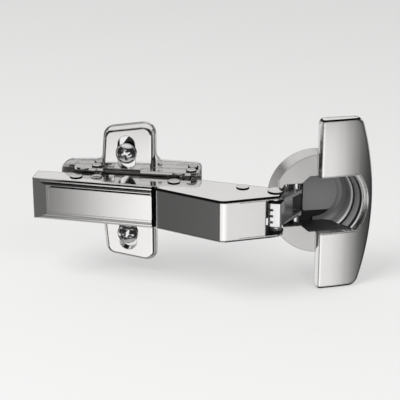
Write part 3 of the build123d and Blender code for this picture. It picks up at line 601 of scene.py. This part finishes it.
# Painted dark reflections along the cover's top and bottom edges.
COVER_TOP_REFLECTION_LINE = PaintedDark((67.0, -20.0, 32.28), (100.0, 20.0, 32.92))
COVER_FOOT_REFLECTION_LINE = PaintedDark((67.0, -20.0, -33.02), (100.0, 20.0, -32.38))
COVER = Finish(
    "cover_nickel",
    (0.82, 0.81, 0.80),
    (0.76, 0.75, 0.74),
    0.09,
    0.012,
    bump=0.004,
    edge=1.0 * MM,
    shaded=(COVER_TOP_REFLECTION_LINE, COVER_FOOT_REFLECTION_LINE),
)
# Painted shade: a near-black colour inside the cup's hollow, with duller, less metallic plating.
CUP_POCKET_SHADE = PaintedShadePocket(
    CUP_CENTRE,
    DOOR_OUT,
    radius=17.0 * MM,
    rim=0.85 * MM,
    floor=-12.3 * MM,
    colour=(0.035, 0.035, 0.036),
    roughness=0.34,
    metallic=0.35,
)
CUP = Finish("cup_nickel", (0.66, 0.65, 0.64), (0.58, 0.57, 0.56), 0.20, 0.06, pocket=CUP_POCKET_SHADE)
# Painted highlights and painted shade: bright and dark rings on the drawn wall, by distance from the cup's
# axis.
WALL_PAINTED_RINGS = PaintedLightRings(
    CUP_CENTRE,
    DOOR_OUT,
    (
        (9.60, 0.22),
        (13.30, 0.36),
        (13.48, 1.00),
        (13.92, 1.00),
        (14.00, 0.03),
        (14.30, 0.03),
        (14.45, 0.34),
        (15.40, 0.46),
        (15.55, 0.02),
        (15.95, 0.02),
        (16.02, 1.00),
        (16.50, 1.00),
    ),
)
WALL = Finish(
    "cup_nickel",
    (0.90, 0.90, 0.90),
    (0.78, 0.78, 0.78),
    0.30,
    0.06,
    0.35,
    rings=WALL_PAINTED_RINGS,
    name="cup_wall",
)
# Painted shade: the panel screws' necks, tips and shanks get a near-black colour for the shade inside the
# plate's slots.
SHANK_SHADE = Finish("screw_chrome", (0.05, 0.05, 0.05), (0.03, 0.03, 0.03), 0.40, 0.08, name="screw_shank_shade")
SCREW = Finish("screw_chrome", (0.78, 0.78, 0.78), (0.66, 0.66, 0.66), 0.07, 0.03)
# Painted shade in the gap between the barrel's teeth and the bush above.
BARREL_GAP_SHADE = PaintedDark((50.0, -30.0, 3.95), (60.4, -13.5, 5.05))
BARREL = Finish(
    "barrel_chrome", (0.80, 0.80, 0.80), (0.72, 0.72, 0.72), 0.14, 0.05, 0.88, shaded=(BARREL_GAP_SHADE,)
)
# Painted shadows: dark crescents round the sides of the pin and rivet heads.
HEAD_RIM_SHADOW = PaintedDark((-40.0, -40.0, 7.90), (80.0, 20.0, 8.40))
RIVET_RIM_SHADOW = PaintedDark((-40.0, -40.0, 10.10), (80.0, 20.0, 10.74))
PIN = Finish("pin_steel", (0.74, 0.73, 0.72), (0.66, 0.65, 0.64), 0.14, 0.05, shaded=(HEAD_RIM_SHADOW, RIVET_RIM_SHADOW))
LINK = Finish("link_steel", (0.58, 0.57, 0.56), (0.46, 0.45, 0.44), 0.20, 0.06, 0.85, grain=Grain.ALONG_Z)
CLIP = Finish("clip_steel", (0.54, 0.54, 0.53), (0.42, 0.42, 0.41), 0.32, 0.10, grain=Grain.ALONG_X)
LATCH = Finish("latch_steel", (0.56, 0.56, 0.55), (0.45, 0.45, 0.44), 0.30, 0.10, grain=Grain.ALONG_X)
SPRING = Finish("spring_steel", (0.36, 0.36, 0.36), (0.24, 0.24, 0.24), 0.30, 0.08)
INSERT = Finish("insert_plastic", (0.27, 0.27, 0.273), (0.23, 0.23, 0.233), 0.42, 0.10, 0.0, bump=0.15)


def take_place(
    piece: bpy.types.Object, node: str, body: Body, finish: Finish, dressed: bool = False
) -> None:
    """Lets a piece stand for a CAD node.

    Args:
        piece: the finished piece, in place.
        node: the CAD node it stands for.
        body: the body it rides on.
        finish: its finish.
        dressed: whether the piece has its finishes already.
    """
    if not dressed:
        finish.dress(piece)
    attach(piece, body.value)
    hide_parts(node)
    LOG.info("%s stands for %s on %s", piece.name, node, body.value)


def merged_copy(node: str, name: str) -> bpy.types.Object:
    """Copies a CAD node with its triangles joined.

    Args:
        node: the CAD node.
        name: name of the new piece.

    Returns:
        The new piece.
    """
    piece = bpy.data.objects.new(name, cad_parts[node].data.copy())
    bpy.context.scene.collection.objects.link(piece)
    with editing(piece):
        bpy.ops.mesh.remove_doubles(threshold=MERGE)
    return piece


def rounded_copy(node: str, name: str, edge: float, segments: int = 3) -> bpy.types.Object:
    """Copies a CAD node, merges its faces and rounds its edges.

    Args:
        node: the CAD node.
        name: name of the new piece.
        edge: width of the rounding in metres.
        segments: faces across a rounded edge.

    Returns:
        The new piece.
    """
    piece = merged_copy(node, name)
    with editing(piece):
        bpy.ops.mesh.dissolve_limited(angle_limit=FLAT_ANGLE)
    bevel = piece.modifiers.new("edges", "BEVEL")
    bevel.width = edge
    bevel.segments = segments
    bevel.limit_method = "ANGLE"
    bevel.angle_limit = SHARP_ANGLE
    bevel.use_clamp_overlap = False
    bevel.miter_outer = "MITER_ARC"
    apply_modifiers(piece)
    smooth(piece, SMOOTH_ANGLE)
    flat = piece.modifiers.new("flats", "WEIGHTED_NORMAL")
    flat.keep_sharp = True
    apply_modifiers(piece)
    return piece


def cut_copy(node: str, name: str, place: Point, away: Point, edge: float) -> bpy.types.Object:
    """Copies a CAD node and keeps what lies behind a plane.

    Args:
        node: the CAD node.
        name: name of the new piece.
        place: a point of the plane.
        away: direction that is cut off.
        edge: width of the rounding of the copy's edges.

    Returns:
        The new piece, closed at the cut.
    """
    piece = rounded_copy(node, name, edge, segments=2)
    trim(piece, place, away)
    return piece


def trim(piece: bpy.types.Object, place: Point, away: Point, closed: bool = True) -> None:
    """Cuts off what lies beyond a plane.

    Args:
        piece: the piece.
        place: a point of the plane.
        away: direction that is cut off.
        closed: whether the cut is closed by a face.
    """
    with editing(piece):
        bpy.ops.mesh.bisect(plane_co=place, plane_no=away, use_fill=closed, clear_outer=True)


def block(name: str, low: Point, high: Point) -> bpy.types.Object:
    """Makes a block between two corners.

    Args:
        name: name of the new object.
        low: its lowest corner.
        high: its highest corner.

    Returns:
        The block.
    """
    bpy.ops.object.select_all(action="DESELECT")
    centre = [(a + b) / 2 for a, b in zip(low, high)]
    bpy.ops.mesh.primitive_cube_add(size=1.0, location=centre, scale=[b - a for a, b in zip(low, high)])
    made = bpy.context.object
    made.name = name
    settle(made)
    return made


def carve(piece: bpy.types.Object, tool: bpy.types.Object) -> None:
    """Cuts a tool out of a piece and removes the tool.

    Args:
        piece: the piece.
        tool: the object that is cut out.
    """
    cut = piece.modifiers.new("carving", "BOOLEAN")
    cut.operation = "DIFFERENCE"
    cut.solver = "EXACT"
    cut.object = tool
    apply_modifiers(piece)
    bpy.data.objects.remove(tool)


def draw_line(name: str, points: Sequence[Point]) -> bpy.types.Object:
    """Draws an open line, point after point.

    Args:
        name: name of the new object.
        points: the line's points.

    Returns:
        The object that holds the line.
    """
    bpy.ops.object.select_all(action="DESELECT")
    bpy.ops.mesh.primitive_plane_add(size=MM, location=ORIGIN)
    line = bpy.context.object
    line.name = name
    with editing(line):
        bpy.ops.mesh.merge(type="CENTER")
        bpy.ops.transform.translate(value=points[0])
        for last, point in zip(points, points[1:]):
            step = Vector(point) - Vector(last)
            bpy.ops.mesh.extrude_region_move(TRANSFORM_OT_translate={"value": step})
    return line


def wind(obj: bpy.types.Object, pitch: float, turns: float, steps: int) -> None:
    """Winds an object's line round the Z axis.

    Args:
        obj: the object that holds the line.
        pitch: rise of one turn.
        turns: number of turns.
        steps: faces in one turn.
    """
    screw = obj.modifiers.new("winding", "SCREW")
    screw.axis = "Z"
    screw.angle = turns * math.tau
    screw.screw_offset = pitch * turns
    screw.steps = screw.render_steps = round(steps * turns)
    screw.iterations = 1
    apply_modifiers(obj)


def join(pieces: Sequence[bpy.types.Object]) -> bpy.types.Object:
    """Joins pieces into the first one.

    Args:
        pieces: the pieces.

    Returns:
        The joined piece.
    """
    only(pieces[0])
    for piece in pieces[1:]:
        piece.select_set(True)
    bpy.ops.object.join()
    return pieces[0]


def close_ends(coil: bpy.types.Object) -> None:
    """Closes the open ends of a wound wire and smooths it.

    Args:
        coil: the wound wire.
    """
    with editing(coil):
        bpy.ops.mesh.remove_doubles(threshold=WIRE_WELD)
        bpy.ops.mesh.fill_holes(sides=0)
        bpy.ops.mesh.select_all(action="SELECT")
        bpy.ops.mesh.normals_make_consistent(inside=False)
    smooth(coil, WIRE_ANGLE)


def placed_copy(source: bpy.types.Object, name: str, place: Matrix) -> bpy.types.Object:
    """Copies a piece with its own mesh and puts it in place.

    Args:
        source: the piece.
        name: name of the copy.
        place: where the copy goes.

    Returns:
        The copy, with its place in its mesh.
    """
    piece = bpy.data.objects.new(name, source.data.copy())
    bpy.context.scene.collection.objects.link(piece)
    piece.matrix_world = place
    settle(piece)
    return piece


def dress_node(node: str, finish: Finish) -> None:
    """Gives a CAD node that stays its finish.

    Args:
        node: the CAD node.
        finish: its finish.
    """
    finish.dress(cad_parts[node])
    LOG.info("%s keeps its shape", node)


@dataclass(frozen=True)
class Thread:
    """A screw's thread.

    The profile lists whether a point lies on the crest, and its height in turns. Lead and spare are turns
    that are wound beyond the ends and cut off.
    """

    core: float
    crest: float
    pitch: float
    start: float
    end: float
    profile: Tuple[Tuple[bool, float], ...] = (
        (False, 0.0),
        (False, 0.28),
        (True, 0.55),
        (True, 0.66),
        (False, 0.92),
        (False, 1.0),
    )
    lead: float = 1.5
    spare: int = 3
    steps: int = 28

    def shanks(self, name: str, places: Iterable[Matrix]) -> List[bpy.types.Object]:
        """Makes threaded shanks.

        Args:
            name: name of the shanks.
            places: where they go, each along its Z axis.

        Returns:
            The shanks.
        """
        rod = self._rod(name + "_rod")
        made = [placed_copy(rod, name, place) for place in places]
        bpy.data.objects.remove(rod)
        return made

    def _rod(self, name: str) -> bpy.types.Object:
        """Makes a threaded rod that stands on the origin.

        Args:
            name: name of the new piece.

        Returns:
            The rod, along Z.
        """
        length = self.end - self.start
        radii = [self.crest if high else self.core for high, _ in self.profile]
        heights = [(turn - self.lead) * self.pitch for _, turn in self.profile]
        rod = draw_line(name, [(r, 0.0, h) for r, h in zip(radii, heights)])
        screw = rod.modifiers.new("thread", "SCREW")
        screw.axis = "Z"
        screw.screw_offset = self.pitch
        screw.iterations = math.ceil(length / self.pitch) + self.spare
        screw.steps = screw.render_steps = self.steps
        screw.use_merge_vertices = True
        apply_modifiers(rod)
        with editing(rod):
            bpy.ops.mesh.remove_doubles(threshold=WELD)
        trim(rod, ORIGIN, DOWN)
        trim(rod, (0.0, 0.0, length), UP)
        with editing(rod):
            bpy.ops.mesh.normals_make_consistent(inside=False)
        smooth(rod, TURNED_ANGLE)
        return rod


@dataclass
class PlateAssembly:
    """Mounting plate, its screws and pins, the clip channel and the latch."""

    pin_edge: float = 0.25 * MM
    head_edge: float = 0.12 * MM
    screw_spacing: float = 32.0 * MM
    head_seat: float = 3.8 * MM
    thread: Thread = Thread(core=2.35 * MM, crest=3.15 * MM, pitch=1.9 * MM, start=0.3 * MM, end=9.8 * MM)
    coil_centre: Point = (-1.1 * MM, -4.2 * MM, 0.0)
    coil_length: float = 7.0 * MM
    coil_radius: float = 2.0 * MM
    coil_wire: float = 0.35 * MM
    coil_sides: int = 10
    coil_steps: int = 22
    coil_turns: float = 7.0
    coil_keep: float = 4.0 / 7.0

    def build(self) -> None:
        """Builds and dresses every piece of the base."""
        dress_node("mounting_plate", PLATE)
        take_place(rounded_copy("plate_pins", "plate_rivets", self.pin_edge), "plate_pins", Body.BASE, PIN)
        take_place(self._screws(), "fixing_screws", Body.BASE, SCREW, dressed=True)
        dress_node("base_clip", CLIP)
        dress_node("release_latch", LATCH)
        self._latch_spring()

    def _screws(self) -> bpy.types.Object:
        """Makes both panel screws: domed heads, threaded shanks and cone ends.

        Returns:
            The screws as one piece.
        """
        seat = (0.0, -self.head_seat, 0.0)
        start = (0.0, self.thread.start, 0.0)
        end = (0.0, self.thread.end, 0.0)
        heads = cut_copy("fixing_screws", "panel_screws", seat, TO_PANEL, self.head_edge)
        SCREW.dress(heads)
        necks = cut_copy("fixing_screws", "screw_necks", start, TO_PANEL, self.head_edge)
        trim(necks, seat, FROM_PANEL)
        tips = cut_copy("fixing_screws", "screw_tips", end, FROM_PANEL, self.head_edge)
        lie = Matrix.Rotation(-QUARTER, 4, "X")
        feet = [(0.0, self.thread.start, side * self.screw_spacing / 2) for side in (1.0, -1.0)]
        shanks = self.thread.shanks("screw_shank_shade", [Matrix.Translation(foot) @ lie for foot in feet])
        # Necks, tips and shanks carry the painted shade.
        for piece in (necks, tips, *shanks):
            SHANK_SHADE.dress(piece)
        return join([heads, necks, tips, *shanks])

    def _latch_spring(self) -> None:
        """Makes the coil spring behind the latch."""
        bpy.ops.object.select_all(action="DESELECT")
        bpy.ops.mesh.primitive_circle_add(
            vertices=self.coil_sides,
            radius=self.coil_wire,
            location=(self.coil_radius - self.coil_wire, 0.0, self.coil_wire),
            rotation=(QUARTER, 0.0, 0.0),
        )
        coil = bpy.context.object
        coil.name = "latch_coil"
        settle(coil)
        rise = (self.coil_length - 2 * self.coil_wire) / self.coil_turns
        wind(coil, rise, self.coil_turns, self.coil_steps)
        close_ends(coil)
        coil.matrix_world = Matrix.Translation(self.coil_centre) @ Matrix.Rotation(-QUARTER, 4, "Y")
        settle(coil)
        take_place(coil, "latch_spring", Body.BASE, SPRING)
        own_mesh(coil)


@dataclass
class ArmAssembly:
    """Arm, cover cap, adjusting parts, pins and springs."""

    pin_edge: float = 0.22 * MM

    def build(self) -> None:
        """Builds and dresses every piece of the arm and what it carries."""
        dress_node("arm_channel", ARM)
        dress_node("arm_cover_cap", CAP)
        for node in ("tilt_pin", "spring_pin", "rear_pivot_pin", "front_pivot_pin"):
            take_place(rounded_copy(node, node + "_riveted", self.pin_edge), node, Body.ARM, PIN)
        dress_node("pivot_bushes", BARREL)
        dress_node("closing_spring", SPRING)
        dress_node("carriage", CLIP)
        dress_node("depth_screw", SCREW)
        dress_node("overlay_screw", SCREW)


@dataclass
class LinkAssembly:
    """The two links between arm and cup."""

    barrel_axis: Tuple[float, float] = (57.5 * MM, -14.5 * MM)
    barrel_r: float = 2.45 * MM
    slot_height: float = 0.7 * MM
    slot_depth: float = 1.9 * MM
    slot_lead: float = 1.0 * MM
    slot_half: float = 4.0 * MM
    slot_pitch: float = 2.35 * MM
    middle_slot_z: float = -0.85 * MM

    def build(self) -> None:
        """Builds and dresses both links."""
        take_place(self._slotted_barrel(), "outer_link", Body.OUTER_LINK, BARREL)
        dress_node("inner_link", LINK)

    def _slotted_barrel(self) -> bpy.types.Object:
        """Makes the outer link with three slots across its barrel.

        Returns:
            The link.
        """
        link = merged_copy("outer_link", "slotted_link")
        x, y = self.barrel_axis
        left = x - self.barrel_r
        for number in (-1, 0, 1):
            z = self.middle_slot_z + number * self.slot_pitch
            low = (left - self.slot_lead, y - self.slot_half, z - self.slot_height / 2)
            high = (left + self.slot_depth, y + self.slot_half, z + self.slot_height / 2)
            carve(link, block("slot_tool", low, high))
        smooth(link, SMOOTH_ANGLE)
        return link


@dataclass
class CupAssembly:
    """Cup, insert, cover cap, pins and screws."""

    pin_edge: float = 0.15 * MM
    head_edge: float = 0.12 * MM
    screw_along: float = 5.5 * MM
    screw_z: float = 26.0 * MM
    thread: Thread = Thread(core=1.2 * MM, crest=1.75 * MM, pitch=1.3 * MM, start=0.3 * MM, end=10.0 * MM)
    wall_line: Tuple[Tuple[float, float], ...] = (
        (16.30, 0.70),
        (16.00, -0.30),
        (13.95, -5.00),
        (13.55, -5.30),
        (12.70, -9.00),
        (11.90, -9.90),
        (11.30, -10.30),
        (9.40, -10.42),
    )
    wall_half: float = 10.8 * MM
    wall_sheet: float = 0.2 * MM
    wall_steps: int = 96

    def build(self) -> None:
        """Builds and dresses every piece of the cup."""
        dress_node("hinge_cup", CUP)
        dress_node("cup_cover_cap", COVER)
        dress_node("cup_insert", INSERT)
        for node, name in (("outer_cup_pins", "cup_stub_pins"), ("inner_cup_pin", "cup_cross_pin")):
            take_place(rounded_copy(node, name, self.pin_edge), node, Body.CUP, PIN)
        take_place(self._screws(), "cup_screws", Body.CUP, SCREW)
        self._drawn_wall()

    def _drawn_wall(self) -> None:
        """Adds the stepped wall that is drawn into the cup's far side."""
        wall = draw_line("cup_drawn_wall", [(r * MM, 0.0, w * MM) for r, w in self.wall_line])
        wind(wall, 0.0, 1.0, self.wall_steps)
        half = self.wall_half
        trim(wall, ORIGIN, (-1.0, 0.0, 0.0), closed=False)
        trim(wall, (0.0, half, 0.0), (0.0, 1.0, 0.0), closed=False)
        trim(wall, (0.0, -half, 0.0), (0.0, -1.0, 0.0), closed=False)
        with editing(wall):
            bpy.ops.mesh.remove_doubles(threshold=WELD)
            bpy.ops.mesh.normals_make_consistent(inside=False)
        sheet = wall.modifiers.new("sheet", "SOLIDIFY")
        sheet.thickness = self.wall_sheet
        sheet.offset = 0.0
        apply_modifiers(wall)
        smooth(wall, TURNED_ANGLE)
        place = Matrix.Identity(4)
        for column, axis in enumerate((DOOR_ALONG, UP, DOOR_OUT, CUP_CENTRE)):
            for row in range(3):
                place[row][column] = axis[row]
        wall.matrix_world = place
        settle(wall)
        WALL.dress(wall)
        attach(wall, Body.CUP.value)
        LOG.info("%s rides on %s", wall.name, Body.CUP.value)

    def _screws(self) -> bpy.types.Object:
        """Makes both door screws: heads under the cover and threaded shanks.

        Returns:
            The screws as one piece.
        """
        into = -Vector(DOOR_OUT)
        start = Vector(CUP_CENTRE) + into * self.thread.start
        heads = cut_copy("cup_screws", "door_screws", start, into, self.head_edge)
        lie = Matrix.Rotation(DOOR_TURN, 4, "Z") @ Matrix.Rotation(-QUARTER, 4, "X")
        along = start + Vector(DOOR_ALONG) * self.screw_along
        feet = [along + Vector((0.0, 0.0, side * self.screw_z)) for side in (1.0, -1.0)]
        shanks = self.thread.shanks("door_shank", [Matrix.Translation(foot) @ lie for foot in feet])
        return join([heads, *shanks])


def looking(place: Vector, target: Vector) -> Matrix:
    """Turns a lamp or a camera to a point.

    Args:
        place: where it stands.
        target: the point that it looks at.

    Returns:
        Its place and turn.
    """
    turn = (target - place).to_track_quat("-Z", "Y").to_matrix().to_4x4()
    return Matrix.Translation(place) @ turn


def background(tree: bpy.types.NodeTree, colour: Operand, strength: float = 1.0) -> bpy.types.NodeSocket:
    """Adds light that comes from the surroundings.

    Args:
        tree: the world's node tree.
        colour: its colour.
        strength: its strength.

    Returns:
        The background shader.
    """
    node = tree.nodes.new("ShaderNodeBackground")
    feed(tree, node.inputs["Color"], colour)
    feed(tree, node.inputs["Strength"], strength)
    return node.outputs["Background"]


@dataclass(frozen=True)
class Lamp:
    """A soft square lamp; its place and side are in metres, its power in watts."""

    name: str
    place: Point
    side: float
    power: float

    def build(self, target: Point) -> None:
        """Adds the lamp.

        Args:
            target: the point that it looks at.
        """
        data = bpy.data.lights.new(self.name, "AREA")
        data.shape = "SQUARE"
        data.size = self.side
        data.energy = self.power
        lamp = bpy.data.objects.new(self.name, data)
        bpy.context.scene.collection.objects.link(lamp)
        lamp.matrix_world = looking(Vector(self.place), Vector(target))
        lamp.visible_glossy = False


@dataclass
class Studio:
    """Floor, lamps and the surroundings that the plating mirrors."""

    floor_z: float = -33.4 * MM
    floor_side: float = 6.0
    floor_colour: Colour = (0.80, 0.80, 0.795)
    floor_shade: float = 0.985
    floor_roughness: float = 0.9
    floor_specular: float = 0.1
    floor_noise: float = 8.0
    paper: Colour = (0.82, 0.82, 0.815)
    paper_share: float = 0.55
    bands: Stops = (
        (-180.0, 0.60),
        (-125.0, 0.80),
        (-100.0, 0.95),
        (-78.0, 0.95),
        (-68.0, 0.45),
        (-60.0, 0.12),
        (-55.0, 0.11),
        (-52.0, 0.15),
        (-46.0, 0.16),
        (-27.0, 0.10),
        (-25.0, 0.20),
        (-23.6, 0.42),
        (-22.4, 0.85),
        (-20.4, 1.22),
        (-13.0, 1.12),
        (-4.0, 1.18),
        (10.0, 1.40),
        (24.0, 1.25),
        (34.0, 1.06),
        (43.0, 0.94),
        (47.0, 0.78),
        (50.6, 0.52),
        (53.0, 0.34),
        (55.5, 0.18),
        (58.0, 0.08),
        (62.0, 0.03),
        (110.0, 0.03),
        (140.0, 0.45),
        (180.0, 0.60),
    )
    fields: Stops = (
        (-1.00, 0.55),
        (-0.85, 0.50),
        (-0.66, 0.30),
        (-0.24, 0.50),
        (0.12, 0.40),
        (0.22, 0.06),
        (0.29, 0.88),
        (1.00, 0.95),
    )
    front_fields: Stops = (
        (-1.00, 0.50),
        (-0.92, 0.48),
        (-0.84, 0.42),
        (-0.75, 0.04),
        (-0.24, 0.03),
        (0.58, 0.03),
        (0.78, 0.80),
        (1.00, 0.95),
    )
    band_zone: Stops = ((-0.55, 0.0), (-0.48, 1.0), (-0.29, 1.0), (-0.25, 0.0))
    window_turn: Stops = ((-19.5, 0.0), (-17.0, 1.0), (-5.0, 1.0), (2.0, 0.0))
    window_rise: Stops = ((0.25, 0.0), (0.29, 1.0), (0.40, 1.0), (0.45, 0.0))
    window_level: float = 0.95
    seam: float = 0.10
    sky: Colour = (0.80, 0.80, 0.80)
    sky_strength: float = 0.55
    backdrop: Colour = (0.86, 0.86, 0.855)
    lamps: Tuple[Lamp, ...] = (
        Lamp("key", (-0.35, -0.45, 0.75), side=0.55, power=7.5),
        Lamp("fill", (0.55, -0.55, 0.40), side=0.60, power=3.0),
    )
    lamp_target: Point = (30.0 * MM, -10.0 * MM, 0.0)

    def build(self) -> None:
        """Builds floor, surroundings and lamps."""
        self._floor()
        self._surroundings()
        for lamp in self.lamps:
            lamp.build(self.lamp_target)

    def _floor(self) -> None:
        """Adds the plain pale floor."""
        bpy.ops.object.select_all(action="DESELECT")
        bpy.ops.mesh.primitive_plane_add(size=self.floor_side, location=(0.0, 0.0, self.floor_z))
        floor = bpy.context.object
        floor.name = "floor"
        mat = bpy.data.materials.new("floor_paper")
        mat.use_nodes = True
        tree = mat.node_tree
        shader = tree.nodes["Principled BSDF"]
        shader.inputs["Roughness"].default_value = self.floor_roughness
        shader.inputs["Specular IOR Level"].default_value = self.floor_specular
        grain = noise(tree, object_place(tree), self.floor_noise)
        shade = [c * self.floor_shade for c in self.floor_colour]
        colour = blend(tree, grain, (*self.floor_colour, 1.0), (*shade, 1.0))
        feed(tree, shader.inputs["Base Color"], colour)
        even = tree.nodes.new("ShaderNodeEmission")
        even.inputs["Color"].default_value = (*self.paper, 1.0)
        light = tree.nodes.new("ShaderNodeLightPath")
        share = combine(tree, "MULTIPLY", light.outputs["Is Camera Ray"], self.paper_share)
        both = mix_shaders(tree, share, shader.outputs["BSDF"], even.outputs["Emission"])
        feed(tree, tree.nodes["Material Output"].inputs["Surface"], both)
        floor.data.materials.append(mat)
        floor.visible_glossy = False

    def _surroundings(self) -> None:
        """Builds the world: pale to the eye, soft bright and dark fields to the plating."""
        world = bpy.data.worlds.new("studio")
        bpy.context.scene.world = world
        world.use_nodes = True
        tree = world.node_tree
        tree.nodes.clear()
        light = tree.nodes.new("ShaderNodeLightPath")
        plain = background(tree, (*self.sky, 1.0), self.sky_strength)
        seen = background(tree, (*self.backdrop, 1.0))
        mirrored = background(tree, self._mirrored(tree))
        pick = mix_shaders(tree, light.outputs["Is Glossy Ray"], plain, mirrored)
        final = mix_shaders(tree, light.outputs["Is Camera Ray"], pick, seen)
        feed(tree, tree.nodes.new("ShaderNodeOutputWorld").inputs["Surface"], final)

    def _mirrored(self, tree: bpy.types.NodeTree) -> bpy.types.NodeSocket:
        """Adds the bright and dark fields that the plating mirrors.

        Args:
            tree: the world's node tree.

        Returns:
            Their colour.
        """
        split = tree.nodes.new("ShaderNodeSeparateXYZ")
        feed(tree, split.inputs["Vector"], tree.nodes.new("ShaderNodeTexCoord").outputs["Generated"])
        ahead = combine(tree, "MULTIPLY", split.outputs["Y"], -1.0)
        angle = combine(tree, "ARCTAN2", split.outputs["X"], ahead)
        turn = share_of(tree, angle, -math.pi, math.pi)
        rise = share_of(tree, split.outputs["Z"], -1.0, 1.0)
        side = share_of(tree, split.outputs["Y"], -self.seam, self.seam)
        around, across = (
            grey_ramp(tree, turn, as_shares(stops, -HALF_TURN, HALF_TURN))
            for stops in (self.bands, self.window_turn)
        )
        back, front, zone, above = (
            grey_ramp(tree, rise, as_shares(stops, -1.0, 1.0))
            for stops in (self.fields, self.front_fields, self.band_zone, self.window_rise)
        )
        fields = blend(tree, side, front, back)
        pane = combine(tree, "MULTIPLY", across, above)
        level = self.window_level
        window = blend(tree, pane, fields, (level, level, level, 1.0))
        return blend(tree, zone, window, around)


@dataclass
class PhotoCamera:
    """Camera at the photograph's view."""

    target: Point = (29.0 * MM, -10.0 * MM, 1.3 * MM)
    offset: Point = (72.0 * MM, -431.0 * MM, 159.0 * MM)
    field_deg: float = 18.1
    near: float = 10.0 * MM

    def build(self) -> None:
        """Adds the camera and makes it the scene's."""
        data = bpy.data.cameras.new("photo_camera")
        data.sensor_fit = "HORIZONTAL"
        data.angle = math.radians(self.field_deg)
        data.clip_start = self.near
        camera = bpy.data.objects.new("photo_camera", data)
        bpy.context.scene.collection.objects.link(camera)
        target = Vector(self.target)
        camera.matrix_world = looking(target + Vector(self.offset), target)
        bpy.context.scene.camera = camera


def main() -> None:
    """Builds the sub-assemblies, the stage and the camera."""
    logging.basicConfig(level=logging.INFO, format="%(message)s")
    scene = bpy.context.scene
    scene.view_settings.view_transform = "Standard"
    for part in (PlateAssembly(), ArmAssembly(), LinkAssembly(), CupAssembly()):
        part.build()
        LOG.info("%s done", type(part).__name__)
    Studio().build()
    PhotoCamera().build()


if __name__ == "__main__":
    main()
